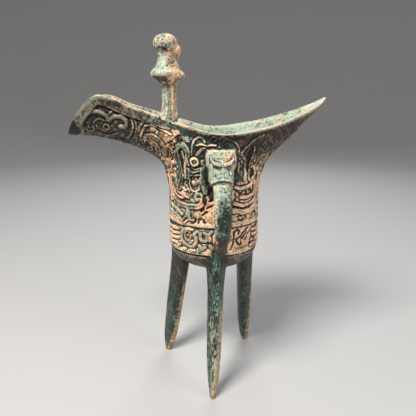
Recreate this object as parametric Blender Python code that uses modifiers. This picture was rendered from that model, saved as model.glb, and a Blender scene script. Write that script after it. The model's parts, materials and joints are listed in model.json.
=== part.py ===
"""A bronze wine cup on three legs, cast in one piece.

The cup stands on the XY plane, +Z up, in metres. Its spout points along -X, its tail along
+X and its strap handle along -Y. The wall is a loft through guide rings, its carving is
raised along lines drawn on that wall, and the legs, handle and posts are joined to it.
"""

import math

import bmesh
import bpy
import numpy as np
from mathutils import Vector
from mathutils.bvhtree import BVHTree
from mathutils.kdtree import KDTree

MM = 0.001

# Heights, each measured from the one below it
LEG_HEIGHT = 73.0 * MM          # floor to the lowest point of the bowl
BOWL_RISE = 15.0 * MM           # from there to the edge of the lower band
LOWER_BAND_HEIGHT = 15.8 * MM
WAIST_RISE = 20.2 * MM          # top of the lower band to the waist
RIM_RISE = 31.2 * MM            # waist to the lowest point of the rim, above the handle
SPOUT_LIFT = 19.2 * MM          # how far the rim climbs towards the spout
TAIL_LIFT = 17.8 * MM           # how far it climbs towards the tail

# Plan sizes
WAIST_RADIUS = 26.3 * MM
RIM_HALF_WIDTH = 29.0 * MM
SPOUT_REACH = 82.0 * MM
SPOUT_HALF_WIDTH = 13.6 * MM
TAIL_REACH = 65.3 * MM
WALL = 2.3 * MM
TIP_WALL = 1.1 * MM             # the wall where the tail runs out
LIP_ROUND = 0.5 * MM            # how far the lip stands above the cut edge of the wall

# Carving
CARVING_HEIGHT = 1.0 * MM
BOLD_LINE = 2.0 * MM
FINE_LINE = 1.5 * MM
BORDER_WIDTH = 4.6 * MM         # the plain border that follows the spout's rim
BORDER_END = 19.0 * MM          # where it dies out, from the cup's axis towards the spout
RIDGE_WIDTH = 2.4 * MM          # the plain ridges that edge the lower band
BACK_RIDGE_WIDTH = 2.6 * MM     # the upright ridge opposite the handle

# Legs: azimuths of the root and of the foot in degrees, how far the foot stands out beyond the
# wall, and how deep the leg is at its root
LEGS = {
    "front_leg": (-91.4, -95.9, 9.6 * MM, 9.6 * MM),
    "spout_leg": (154.0, 154.0, 7.6 * MM, 12.4 * MM),
    "tail_leg": (18.0, 42.0, 8.2 * MM, 10.8 * MM),
}
LEG_WIDTH = 9.6 * MM
LEG_STAND = 1.4 * MM            # how far the root stands out beyond the wall
FOOT_WIDTH = 3.6 * MM
FOOT_DEPTH = 4.0 * MM

# Handle
HANDLE_SHIFT = 0.8 * MM         # the handle sits a little towards the tail
FINGER_GAP = 12.0 * MM          # clear space between the wall and the strap
STRAP_WIDTH = 9.2 * MM
STRAP_THICKNESS = 5.0 * MM
MASK_WIDTH = 15.4 * MM
MASK_HEIGHT = 16.7 * MM
MASK_DEPTH = 11.6 * MM          # how far the muzzle stands out from the wall
MASK_DROP = 7.6 * MM            # rim to the top of the mask

# Posts: side of the cup, place from the cup's axis towards the spout, diameter of the knob, and
# height of the stem from the rim to the lower edge of the skirt
POSTS = {
    "near_post": (-1, 26.7 * MM, 12.0 * MM, 21.5 * MM),
    "far_post": (1, 23.6 * MM, 11.6 * MM, 23.5 * MM),
}
STEM_WIDTH = 5.0 * MM
SKIRT_DIAMETER = 15.6 * MM
CAP_HEIGHT = 20.2 * MM          # lower edge of the skirt to the top of the knob
NECK_DIAMETER = 7.6 * MM

# Fineness of the mesh
NET_STEP = FINE_LINE / 2.6      # the net that the carving is drawn on
SHELL_TRIANGLES = 6500
CORE_SHARE = 0.02               # share of the net's faces that the trimming core keeps
CAP_SIDES = 16
WELD = 0.00001

BAND_LOW = LEG_HEIGHT + BOWL_RISE
BAND_TOP = BAND_LOW + LOWER_BAND_HEIGHT
WAIST = BAND_TOP + WAIST_RISE
RIM = WAIST + RIM_RISE
SHOULDER = WAIST_RADIUS + 0.4 * MM   # the wall is straight below the waist, a little wider


def spout_point(reach, width, lift):
    """A guide point on the spout: shares of its reach, half width and lift."""
    return (-reach * SPOUT_REACH, -width * SPOUT_HALF_WIDTH, RIM + lift * SPOUT_LIFT)


def tail_point(reach, width, lift):
    """A guide point on the tail: shares of its reach, of the rim's half width and of its lift."""
    return (reach * TAIL_REACH, -width * RIM_HALF_WIDTH, RIM + lift * TAIL_LIFT)


def throat_point(angle, spread, height):
    """A guide point on the wall between the waist and the rim."""
    a = math.radians(angle)
    radius = spread * WAIST_RADIUS
    return (-radius * math.cos(a), -radius * math.sin(a), WAIST + height * RIM_RISE)


# Columns of guide points run from the spout's keel (0) along one side to the tail's keel (180)
COLUMN_ANGLES = (0, 5.5, 12, 19, 29.5, 50, 90, 130, 154.5, 170.5, 180)


def round_ring(z, radius):
    """A round ring of guide points."""
    points = []
    for angle in COLUMN_ANGLES:
        a = math.radians(angle)
        points.append((-radius * math.cos(a), -radius * math.sin(a), z))
    return points


def guide_rings():
    """The wall's guide rings, from the lower band up to the rim."""
    throat = [
        throat_point(0, 1.209, 0.50), throat_point(5.4, 1.207, 0.505),
        throat_point(11.7, 1.204, 0.53), throat_point(18.7, 1.189, 0.57),
        throat_point(29.3, 1.134, 0.59), throat_point(49.6, 1.032, 0.51),
        throat_point(90, 1.020, 0.40), throat_point(130.4, 1.032, 0.45),
        throat_point(154.7, 1.114, 0.48), throat_point(170.5, 1.153, 0.47),
        throat_point(180, 1.164, 0.465),
    ]
    trough = [
        spout_point(0.695, 0, -0.23), spout_point(0.689, 0.33, -0.18),
        spout_point(0.665, 0.63, -0.05), spout_point(0.610, 0.90, 0.19),
        spout_point(0.476, 1.16, 0.12), throat_point(46.7, 1.19, 0.85),
        throat_point(90, 1.058, 0.69), throat_point(132.8, 1.203, 0.77),
        tail_point(0.551, 0.586, -0.25), tail_point(0.658, 0.310, -0.13),
        tail_point(0.705, 0, -0.035),
    ]
    rim = [
        spout_point(1.0, 0, -0.04), spout_point(0.971, 0.51, 0.16),
        spout_point(0.888, 0.85, 0.64), spout_point(0.793, 0.934, 0.995),
        spout_point(0.573, 1.088, 0.72), spout_point(0.293, 1.787, 0.33),
        tail_point(0, 1.0, 0), tail_point(0.368, 0.89, 0.13),
        tail_point(0.704, 0.569, 0.46), tail_point(0.926, 0.241, 0.79),
        tail_point(1.0, 0, 1.0),
    ]
    return np.array([round_ring(BAND_TOP, SHOULDER), round_ring(WAIST, WAIST_RADIUS), throat, trough, rim])


def smooth_through(points, knots, places, mirrored=False):
    """Reads a smooth curve through points (first axis), set at knots, at each of the places."""
    points = np.asarray(points, float)
    knots = np.asarray(knots, float)
    shape = (-1,) + (1,) * (points.ndim - 1)
    gaps = np.diff(knots).reshape(shape)
    steps = np.diff(points, axis=0) / gaps
    slopes = np.empty_like(points)
    slopes[1:-1] = (steps[:-1] * gaps[1:] + steps[1:] * gaps[:-1]) / (gaps[1:] + gaps[:-1])
    slopes[0], slopes[-1] = steps[0], steps[-1]
    if mirrored:
        # The curve meets its mirror image at both ends without a kink
        slopes[0] *= np.array([0, 1, 0])
        slopes[-1] *= np.array([0, 1, 0])
    places = np.asarray(places, float)
    left = np.clip(np.searchsorted(knots, places, side="right") - 1, 0, len(knots) - 2)
    gap = gaps[left]
    t = (places - knots[left]).reshape(shape) / gap
    p0, p1, m0, m1 = points[left], points[left + 1], slopes[left] * gap, slopes[left + 1] * gap
    return ((1 + 2 * t) * (1 - t) ** 2 * p0 + t * (1 - t) ** 2 * m0
            + t * t * (3 - 2 * t) * p1 + t * t * (t - 1) * m1)


def bowl_profile(step):
    """Radius and height of the turned part, from under the upper wall down to the pole."""
    count = int(LOWER_BAND_HEIGHT / step)
    profile = [(SHOULDER, BAND_TOP - LOWER_BAND_HEIGHT * i / count) for i in range(1, count + 1)]
    turns = int(SHOULDER / step)
    for i in range(1, turns):
        a = 0.5 * math.pi * i / turns
        profile.append((SHOULDER * math.cos(a) ** 0.86, BAND_LOW - BOWL_RISE * math.sin(a)))
    return profile


def wall_net(step):
    """Points on the smooth wall: rows from the rim down to the bowl, columns all round."""
    rings = guide_rings()
    knots = np.append(0, np.cumsum(np.linalg.norm(np.diff(rings[-1], axis=0), axis=1)))
    places = np.linspace(0, knots[-1], int(knots[-1] / step) + 1)
    fine = np.array([smooth_through(ring, knots, places, mirrored=True) for ring in rings])
    heights = np.append(0, np.cumsum(np.linalg.norm(np.diff(fine, axis=0), axis=2).mean(axis=1)))
    levels = np.linspace(heights[-1], 0, int(heights[-1] / step) + 1)
    half = smooth_through(fine, heights, levels)
    half[:, (0, -1), 1] = 0
    angles = np.arctan2(-half[-1, :, 1], -half[-1, :, 0])
    turned = []
    for radius, z in bowl_profile(step):
        turned.append(np.stack([-radius * np.cos(angles), -radius * np.sin(angles), np.full(len(angles), z)], 1))
    half = np.concatenate([half, np.array(turned)])
    half[:, (0, -1), 1] = 0
    other = half[:, -2:0:-1] * np.array([1, -1, 1])
    return np.concatenate([half, other], axis=1)


def net_faces(rows, columns):
    """Outward faces of a net, and of the cap below its last row."""
    faces = []
    for j in range(rows - 1):
        for i in range(columns):
            k = (i + 1) % columns
            faces.append((j * columns + i, (j + 1) * columns + i, (j + 1) * columns + k, j * columns + k))
    last, pole = (rows - 1) * columns, rows * columns
    for i in range(columns):
        faces.append((last + i, pole, last + (i + 1) % columns))
    return faces


def make_mesh(name, points, faces):
    mesh = bpy.data.meshes.new(name)
    mesh.from_pydata([tuple(p) for p in points], [], [tuple(f) for f in faces])
    return mesh


def make_object(name, mesh, collection):
    made = bpy.data.objects.new(name, mesh)
    collection.objects.link(made)
    return made


def smooth_step(low, high, value):
    t = np.clip((value - low) / (high - low), 0, 1)
    return t * t * (3 - 2 * t)


# Carved lines on the body: (degrees round from the handle, share of the height from the
# lower band's top to the rim). Negative degrees lie towards the spout.
BODY_LINES = {
    "dragon sweep": ("bold", ((-64, 0.54), (-69, 0.42), (-69, 0.30), (-57, 0.245), (-43, 0.235), (-31, 0.23),
                              (-22, 0.27), (-18, 0.34), (-21, 0.405), (-27, 0.40), (-30, 0.345), (-27, 0.31))),
    "eye": ("bold", ((-32, 0.72), (-28, 0.77), (-24, 0.72), (-28, 0.67), (-32, 0.72))),
    "eye boss": ("bold", ((-28.4, 0.72), (-28, 0.72))),
    "crest": ("bold", ((-48, 0.74), (-45, 0.87), (-40, 0.90), (-35.5, 0.88), (-37, 0.72), (-40, 0.57))),
    "horn": ("fine", ((-31, 0.81), (-28.5, 0.90), (-23, 0.965), (-16, 0.955), (-14, 0.92), (-23, 0.91))),
    "jaw": ("fine", ((-37, 0.61), (-29, 0.60), (-22, 0.62))),
    "cheek": ("bold", ((-33, 0.50), (-29, 0.47), (-25, 0.50))),
    "bar": ("bold", ((-18.5, 0.68), (-19, 0.56), (-18.5, 0.46))),
    "claw": ("fine", ((-38.5, 0.21), (-38.8, 0.12), (-44, 0.055))),
    "inner leg": ("bold", ((-56, 0.55), (-58, 0.44), (-53, 0.42), (-47, 0.47), (-44, 0.60))),
    "thunder": ("fine", ((-55, 0.90), (-51, 0.93), (-48, 0.87), (-52, 0.82), (-55, 0.86))),
    "tail blade": ("bold", ((25, 0.80), (30, 0.89), (38, 0.955))),
    "tail bar": ("bold", ((23, 0.79), (31, 0.72), (35, 0.62), (36, 0.48))),
    "tail leaf": ("bold", ((41, 0.51), (39, 0.60), (41, 0.70), (46, 0.80))),
    "tail sweep": ("bold", ((21, 0.25), (41, 0.24), (58, 0.29), (63, 0.46))),
    "tail rib 1": ("fine", ((31, 0.31), (44, 0.32), (54, 0.38))),
    "tail rib 2": ("fine", ((22, 0.43), (36, 0.42), (48, 0.46))),
    "tail hook": ("fine", ((21, 0.08), (28, 0.10), (33, 0.05), (40, 0.08))),
}

# Carved lines on the lower band: (degrees round, share of the band's height)
BAND_LINES = {
    "scroll": ("fine", ((-34, 0.86), (-42, 0.85), (-47.5, 0.68), (-46, 0.42), (-38, 0.26), (-30, 0.28),
                        (-27.5, 0.48), (-29, 0.74), (-24, 0.80))),
    "scroll eye": ("fine", ((-39.5, 0.66), (-36.5, 0.66))),
    "hook": ("fine", ((-21.5, 0.76), (-18.5, 0.52), (-14, 0.54), (-15, 0.78))),
    "left rib 1": ("fine", ((-76, 0.72), (-53, 0.80))),
    "left rib 2": ("fine", ((-77, 0.50), (-54, 0.60))),
    "left rib 3": ("fine", ((-76, 0.29), (-53, 0.42))),
    "right stroke": ("fine", ((14, 0.20), (19, 0.50), (21, 0.82), (25, 0.80))),
    "right slant": ("fine", ((25, 0.50), (33, 0.70), (40, 0.90), (46, 0.78))),
    "right curl": ("fine", ((25, 0.42), (26, 0.27), (31, 0.24), (34, 0.36))),
    "right rib 1": ("fine", ((50, 0.52), (66, 0.60))),
    "right rib 2": ("fine", ((48, 0.32), (66, 0.38))),
}

# Carved lines on the spout's side: (share of its reach, share of its lift above the rim)
SPOUT_LINES = {
    "cloud": ("bold", ((0.895, 0.16), (0.875, 0.36), (0.845, 0.54), (0.79, 0.62), (0.74, 0.545), (0.715, 0.52),
                       (0.69, 0.61), (0.645, 0.635), (0.595, 0.55), (0.555, 0.40), (0.54, 0.18), (0.575, -0.10))),
    "cloud hook": ("bold", ((0.81, 0.34), (0.785, 0.42), (0.745, 0.35), (0.705, 0.35), (0.675, 0.46), (0.63, 0.49),
                            (0.595, 0.37), (0.60, 0.20), (0.635, 0.19))),
    "cloud eye": ("bold", ((0.733, 0.19), (0.728, 0.19))),
    "second ridge": ("fine", ((0.545, 0.50), (0.522, 0.33), (0.518, 0.05), (0.555, -0.18))),
    "long ridge": ("bold", ((0.53, -0.20), (0.51, 0.05), (0.49, 0.20), (0.455, 0.30), (0.40, 0.25), (0.32, 0.13))),
    "lower ridge": ("bold", ((0.475, 0.04), (0.42, 0.0), (0.375, -0.14), (0.345, -0.36), (0.348, -0.55))),
    "lower curl": ("fine", ((0.49, -0.28), (0.48, -0.17), (0.44, -0.18), (0.405, -0.29), (0.39, -0.46), (0.40, -0.62))),
    "lower eye": ("bold", ((0.45, -0.43), (0.443, -0.44))),
}


def dense(points, step):
    """A smooth line through points, as closely spaced points."""
    points = np.asarray(points, float)
    knots = np.append(0, np.cumsum(np.linalg.norm(np.diff(points, axis=0), axis=1)))
    count = max(2, int(knots[-1] / step))
    return smooth_through(points, knots, np.linspace(0, knots[-1], count + 1))


def carved_points(tree):
    """Points along each carved line, laid on the smooth wall, on both sides of the cup."""
    found = {"bold": [], "fine": []}
    far = 3 * (SPOUT_REACH + RIM_HALF_WIDTH)

    def lay(kind, origin, direction):
        hit = tree.ray_cast(Vector(origin), Vector(direction))[0]
        if hit is None:
            return
        found[kind].append(hit)
        found[kind].append(Vector((hit.x, -hit.y, hit.z)))

    for lines, low, high in ((BODY_LINES, BAND_TOP, RIM), (BAND_LINES, BAND_LOW, BAND_TOP)):
        for kind, places in lines.values():
            for angle, share in dense(np.array(places) * (1, 50), 1.0) / (1, 50):
                a = math.radians(angle)
                z = low + share * (high - low)
                lay(kind, (far * math.sin(a), -far * math.cos(a), z), (-math.sin(a), math.cos(a), 0))
    for kind, places in SPOUT_LINES.values():
        for reach, share in dense(np.array(places) * (4, 1), 0.02) / (4, 1):
            lay(kind, (-reach * SPOUT_REACH, -far, RIM + share * SPOUT_LIFT), (0, 1, 0))
    return found


def nearest_distances(points, targets):
    tree = KDTree(len(targets))
    for i, target in enumerate(targets):
        tree.insert(target, i)
    tree.balance()
    return np.array([tree.find(p)[2] for p in points])


def carving(points, tree, rim_points):
    """How far each point of the wall is raised: the carved lines, the bands and the border."""
    lines = carved_points(tree)
    raised = np.zeros(len(points))
    for kind, width in (("bold", BOLD_LINE), ("fine", FINE_LINE)):
        away = nearest_distances(points, lines[kind])
        raised = np.maximum(raised, CARVING_HEIGHT * (1 - smooth_step(0.35 * width, 0.75 * width, away)))
    z = points[:, 2]
    # Plain ridges run along the foot of the lower band and above it
    for middle in (BAND_LOW + 0.5 * RIDGE_WIDTH, BAND_TOP + 0.6 * RIDGE_WIDTH):
        away = np.abs(z - middle)
        ridge = 1 - smooth_step(0.38 * RIDGE_WIDTH, 0.60 * RIDGE_WIDTH, away)
        raised = np.maximum(raised, 0.7 * CARVING_HEIGHT * ridge)
    # The upright ridge that takes the handle's place on the far side
    middle = 1 - smooth_step(0.40 * BACK_RIDGE_WIDTH, 0.62 * BACK_RIDGE_WIDTH, np.abs(points[:, 0]))
    raised = np.maximum(raised, CARVING_HEIGHT * middle * (points[:, 1] > 0))
    edge = nearest_distances(points, [Vector(p) for p in rim_points])
    border = 1 - smooth_step(BORDER_WIDTH, 1.25 * BORDER_WIDTH, edge)
    past = smooth_step(-BORDER_END - BORDER_WIDTH, -BORDER_END + BORDER_WIDTH, points[:, 0])
    raised = np.maximum(raised, 0.8 * CARVING_HEIGHT * border * (1 - past))
    below = smooth_step(BAND_LOW - 0.25 * RIDGE_WIDTH, BAND_LOW, z)
    return raised * below


def build_shell(collection):
    """The hollow body with its spout and tail. Returns it and the solid inside the wall's middle."""
    net = wall_net(NET_STEP)
    rows, columns = net.shape[:2]
    faces = net_faces(rows, columns)
    smooth = np.concatenate([net.reshape(-1, 3), [[0, 0, LEG_HEIGHT]]])
    mesh = make_mesh("smooth_wall", smooth, faces)
    normals = np.empty(len(smooth) * 3)
    mesh.vertex_normals.foreach_get("vector", normals)
    normals = normals.reshape(-1, 3)
    bpy.data.meshes.remove(mesh)
    tree = BVHTree.FromPolygons([Vector(p) for p in smooth], faces)
    outer = smooth + normals * carving(smooth, tree, smooth[:columns])[:, None]
    near_tip = smooth_step(0.80 * TAIL_REACH, TAIL_REACH, smooth[:, 0])
    thickness = (WALL + (TIP_WALL - WALL) * near_tip)[:, None]
    inner = smooth - normals * thickness

    # The lip is a low ridge between the two skins
    lip = (outer[:columns] + inner[:columns]) / 2
    rise = np.cross(np.roll(lip, -1, axis=0) - np.roll(lip, 1, axis=0), normals[:columns])
    rise /= np.linalg.norm(rise, axis=1)[:, None]
    lip = lip + rise * LIP_ROUND * np.sign(rise[columns // 4, 2])
    count = len(smooth)
    skins = faces + [tuple(v + count for v in reversed(face)) for face in faces]
    for i in range(columns):
        k = (i + 1) % columns
        skins.append((i, k, 2 * count + k, 2 * count + i))
        skins.append((2 * count + i, 2 * count + k, count + k, count + i))
    shell = make_object("bronze_cup", make_mesh("bronze_cup", np.concatenate([outer, inner, lip]), skins), collection)
    thin = shell.modifiers.new("fewer faces", "DECIMATE")
    thin.ratio = SHELL_TRIANGLES / (2 * len(skins))
    return shell, smooth - 0.5 * normals * thickness, faces, columns


def build_core(middle, faces, columns, collection):
    """A solid that fills the cup up to the middle of its wall, to trim what is joined outside."""
    lid = [(0, 1, columns - 1)]
    for i in range(1, columns // 2):
        across = tuple(dict.fromkeys((i, i + 1, columns - i - 1, columns - i)))
        lid.append(across)
    core = make_object("inside", make_mesh("inside", middle, faces + lid), collection)
    thin = core.modifiers.new("fewer faces", "DECIMATE")
    thin.ratio = CORE_SHARE
    return core


def loft(name, sections, collection):
    """A solid through rings of points, closed at both ends."""
    sides = len(sections[0])
    points = [p for ring in sections for p in ring]
    faces = []
    for j in range(len(sections) - 1):
        for i in range(sides):
            k = (i + 1) % sides
            faces.append((j * sides + i, j * sides + k, (j + 1) * sides + k, (j + 1) * sides + i))
    faces.append(tuple(reversed(range(sides))))
    faces.append(tuple(range((len(sections) - 1) * sides, len(sections) * sides)))
    mesh = make_mesh(name, points, faces)
    bm = bmesh.new()
    bm.from_mesh(mesh)
    bmesh.ops.recalc_face_normals(bm, faces=bm.faces)
    bm.to_mesh(mesh)
    bm.free()
    return make_object(name, mesh, collection)


# Outline of a leg: shares of its width and depth, with a blunt ridge outwards
LEG_OUTLINE = ((0.00, 0.50), (0.16, 0.44), (0.36, 0.12), (0.50, -0.24), (0.46, -0.42), (0.28, -0.50),
               (-0.28, -0.50), (-0.46, -0.42), (-0.50, -0.24), (-0.36, 0.12), (-0.16, 0.44))
# Down the leg: share of the way, shares of its width and of its depth, share of its splay
LEG_STATIONS = (
    (-0.10, 1.70, 1.28, -0.06), (0.0, 1.48, 1.16, 0.03), (0.07, 1.28, 1.04, 0.09), (0.15, 1.08, 0.97, 0.155),
    (0.32, 0.95, 0.89, 0.325), (0.58, 0.87, 0.81, 0.585), (0.74, 0.74, 0.70, 0.745), (0.86, 0.50, 0.56, 0.865),
    (0.94, 0.25, 0.33, 0.935), (1.0, 0.0, 0.0, 1.0),
)
ROOT_SHARE = 0.62               # how far up the bowl's curve the roots stand


def around(azimuth, radius):
    """A point on the floor at this azimuth and distance from the cup's axis."""
    a = math.radians(azimuth)
    return Vector((radius * math.cos(a), radius * math.sin(a), 0))


def build_leg(name, root_azimuth, foot_azimuth, splay, root_depth, collection):
    """One leg, from inside the bowl's wall down to its small flat foot."""
    out = around(root_azimuth, 1)
    side = around(root_azimuth + 90, 1)
    root = around(root_azimuth, SHOULDER + LEG_STAND - 0.5 * root_depth)
    foot = around(foot_azimuth, SHOULDER + splay)
    top = LEG_HEIGHT + ROOT_SHARE * BOWL_RISE
    sections = []
    for share, width, depth, out_share in LEG_STATIONS:
        middle = root + (foot - root) * out_share + Vector((0, 0, top * (1 - share)))
        wide = FOOT_WIDTH + (LEG_WIDTH - FOOT_WIDTH) * width
        deep = FOOT_DEPTH + (root_depth - FOOT_DEPTH) * depth
        sections.append([middle + side * (x * wide) + out * (y * deep) for x, y in LEG_OUTLINE])
    return loft(name, sections, collection)


STRAP_SECTIONS = 20
STRAP_OUTLINE = ((-0.50, -0.30), (-0.46, 0.10), (-0.26, 0.42), (0.0, 0.50), (0.26, 0.42), (0.46, 0.10),
                 (0.50, -0.30), (0.40, -0.50), (-0.40, -0.50))


def build_strap(collection):
    """The strap, from behind the mask's lip round the finger gap to the lower band."""
    reach = WAIST_RADIUS + FINGER_GAP + 0.5 * STRAP_THICKNESS
    top = RIM - MASK_DROP - MASK_HEIGHT
    low = BAND_LOW + 0.18 * LOWER_BAND_HEIGHT
    drop = top - low
    bend = reach - SHOULDER
    route = (
        (SHOULDER + 0.18 * bend, top + 0.09 * drop, 0.90), (SHOULDER + 0.55 * bend, top + 0.005 * drop, 1.0),
        (SHOULDER + 0.86 * bend, top - 0.14 * drop, 1.0), (reach, top - 0.36 * drop, 1.0),
        (SHOULDER + 0.96 * bend, top - 0.58 * drop, 0.92), (SHOULDER + 0.70 * bend, top - 0.80 * drop, 0.80),
        (SHOULDER + 0.34 * bend, top - 0.94 * drop, 0.68), (SHOULDER - 0.4 * WALL, low, 0.66),
    )
    route = np.array(route)
    knots = np.append(0, np.cumsum(np.linalg.norm(np.diff(route[:, :2], axis=0), axis=1)))
    path = smooth_through(route, knots, np.linspace(0, knots[-1], STRAP_SECTIONS))
    sections = []
    for i, (out, z, width) in enumerate(path):
        before, after = path[max(i - 1, 0)], path[min(i + 1, len(path) - 1)]
        run = Vector((0, -(after[0] - before[0]), after[1] - before[1])).normalized()
        face = Vector((0, run.z, -run.y))
        middle = Vector((HANDLE_SHIFT, -out, z))
        if face.y > 0:
            face = -face
        ring = [middle + Vector((x * STRAP_WIDTH * width, 0, 0)) + face * (y * STRAP_THICKNESS)
                for x, y in STRAP_OUTLINE]
        sections.append(ring)
    return loft("strap", sections, collection)


MASK_ROWS = 18
MASK_COLUMNS = 19


def bump(x, z, middle_x, middle_z, half_x, half_z):
    """A smooth oval swelling."""
    away = np.hypot((x - middle_x) / half_x, (z - middle_z) / half_z)
    return 1 - smooth_step(0.45, 1.0, away)


def mask_front(x, t):
    """How far the face stands out at share x of its half width and share t of its height."""
    muzzle = np.interp(t, (0.0, 0.12, 0.35, 0.62, 0.80, 1.0), (1.0, 0.98, 0.88, 0.78, 0.72, 0.60))
    brow_line = 0.60 + 0.55 * (abs(x) - 0.42) ** 2 + 0.10 * abs(x)
    brow = 0.11 * (1 - smooth_step(0.035, 0.085, abs(t - brow_line))) * smooth_step(0.08, 0.20, abs(x)) \
        * (1 - smooth_step(0.74, 0.86, abs(x)))
    nostril = 0.10 * bump(abs(x), t, 0.62, 0.27, 0.20, 0.11)
    lip = 0.07 * (1 - smooth_step(0.0, 0.07, abs(t - 0.035 - 0.05 * (1 - x * x))))
    ear = 0.10 * bump(abs(x), t, 0.93, 0.66, 0.16, 0.22)
    return muzzle + brow + nostril + lip + ear


def build_mask(collection):
    """The animal face that grips the top of the strap."""
    top = RIM - MASK_DROP
    back = WAIST_RADIUS - WALL
    sections = []
    for j in range(MASK_ROWS):
        t = j / (MASK_ROWS - 1)
        half = 0.5 * MASK_WIDTH * np.interp(t, (0.0, 0.40, 0.52, 0.82, 1.0), (0.84, 0.88, 1.03, 1.03, 0.98))
        ring = []
        for i in range(MASK_COLUMNS):
            a = math.pi * i / (MASK_COLUMNS - 1)
            x = -math.cos(a)
            fullness = max(math.sin(a), 0) ** 0.42
            out = back + (MASK_DEPTH + WALL) * fullness * float(mask_front(x, t))
            ring.append(Vector((HANDLE_SHIFT + half * x, -out, top - MASK_HEIGHT * (1 - t))))
        sections.append(ring)
    return loft("mask", sections, collection)


# Up a stem: share of its height, shares of its width across the rim and along it
STEM_STATIONS = (
    (-0.12, 0.35, 0.35), (-0.037, 0.9, 1.0), (0.019, 1.15, 1.75), (0.074, 1.05, 1.5), (0.15, 0.97, 1.2),
    (0.28, 0.93, 0.97), (0.56, 0.92, 0.92), (0.79, 0.98, 0.98),
)
# Down a cap: radius as a share of one of its diameters, share of its height
CAP_PROFILE = (
    ("knob", 0, 0.99), ("knob", 0.42, 0.975), ("knob", 0.80, 0.915), ("knob", 1, 0.80), ("knob", 0.93, 0.68),
    ("neck", 1.04, 0.57), ("neck", 1, 0.46), ("neck", 1.12, 0.34), ("skirt", 0.72, 0.20), ("skirt", 0.97, 0.11),
    ("skirt", 1, 0.04), ("skirt", 0.93, 0), ("skirt", 0.55, -0.10), ("stem", 0.80, -0.22), ("stem", 0, -0.22),
)
CAP_OVERLAP = 0.20              # share of the cap's height that the stem runs up inside it


def rim_at(place, rim_points):
    """The rim's half width and height at a place along the cup."""
    near_side = [p for p in rim_points if p[1] < 0]
    nearest = min(near_side, key=lambda p: abs(p[0] - place))
    return -nearest[1], nearest[2]


def build_post(name, side, place, knob, stem_height, rim_points, collection):
    """One post: a square stem on the rim and a turned cap, with a skirt, a neck and a knob."""
    half, height = rim_at(-place, rim_points)
    foot = Vector((-place, side * half, height))
    square = []
    for k in range(12):
        a = math.radians(15 + 30 * k)
        square.append((0.24 * math.cos(a) + 0.30 * math.cos(a) ** 3, 0.24 * math.sin(a) + 0.30 * math.sin(a) ** 3))
    sections = []
    for share, deep, wide in STEM_STATIONS:
        # The foot spreads towards the spout, along the rim
        middle = foot + Vector((-0.5 * STEM_WIDTH * (wide - deep), 0, share * stem_height))
        sections.append([middle + STEM_WIDTH * Vector((x * wide, y * deep, 0)) for x, y in square])
    top = foot + Vector((0, 0, stem_height + CAP_OVERLAP * CAP_HEIGHT))
    sections.append([top + STEM_WIDTH * Vector((x, y, 0)) for x, y in square])
    stem = loft(name + "_stem", sections, collection)

    widths = {"knob": knob, "neck": NECK_DIAMETER, "skirt": SKIRT_DIAMETER, "stem": STEM_WIDTH}
    points = [(0.5 * widths[part] * share, 0, up * CAP_HEIGHT) for part, share, up in CAP_PROFILE]
    mesh = make_mesh(name + "_cap", points, [])
    mesh.edges.add(len(points) - 1)
    for i, edge in enumerate(mesh.edges):
        edge.vertices = (i, i + 1)
    cap = make_object(name + "_cap", mesh, collection)
    cap.location = foot + Vector((0, 0, stem_height))
    turn = cap.modifiers.new("turn", "SCREW")
    turn.steps = turn.render_steps = CAP_SIDES
    turn.use_merge_vertices = True
    turn.merge_threshold = WELD
    return stem, cap


def join(cup, piece, operation="UNION"):
    """Joins a piece to the cup, or trims it."""
    step = cup.modifiers.new(piece.name, "BOOLEAN")
    step.operation = operation
    step.object = piece
    step.solver = "EXACT"


def centre(objects, collection):
    """Hangs the objects from an empty that puts the middle of their plan at the origin."""
    points = [thing.location + vertex.co for thing in objects for vertex in thing.data.vertices]
    low = [min(p[i] for p in points) for i in (0, 1)]
    high = [max(p[i] for p in points) for i in (0, 1)]
    stand = bpy.data.objects.new("plan_middle", None)
    collection.objects.link(stand)
    stand.location = (-0.5 * (low[0] + high[0]), -0.5 * (low[1] + high[1]), 0)
    for thing in objects:
        thing.parent = stand


def bronze():
    """Dark green bronze with a soft gloss."""
    material = bpy.data.materials.new("green_bronze")
    material.use_nodes = True
    shader = material.node_tree.nodes["Principled BSDF"]
    shader.inputs["Base Color"].default_value = (0.13, 0.20, 0.16, 1)
    shader.inputs["Metallic"].default_value = 0.6
    shader.inputs["Roughness"].default_value = 0.5
    return material


def main():
    for old in list(bpy.data.objects):
        bpy.data.objects.remove(old)
    cup_collection = bpy.data.collections.new("bronze_wine_cup")
    joined_collection = bpy.data.collections.new("joined_shapes")
    bpy.context.scene.collection.children.link(cup_collection)
    bpy.context.scene.collection.children.link(joined_collection)

    shell, middle, faces, columns = build_shell(cup_collection)
    core = build_core(middle, faces, columns, joined_collection)
    pieces = [build_leg(name, *shape, joined_collection) for name, shape in LEGS.items()]
    pieces.append(build_strap(joined_collection))
    pieces.append(build_mask(joined_collection))
    for piece in pieces:
        join(piece, core, "DIFFERENCE")
    for name, shape in POSTS.items():
        pieces.extend(build_post(name, *shape, middle[:columns], joined_collection))
    for piece in pieces:
        join(shell, piece)
    for piece in pieces + [core]:
        piece.hide_render = True
        piece.display_type = "WIRE"
    centre(pieces + [core, shell], cup_collection)
    shell.data.materials.append(bronze())


main()
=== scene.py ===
import json
import math

import bpy
import numpy as np
from mathutils import Matrix, Vector
from mathutils.bvhtree import BVHTree

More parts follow.
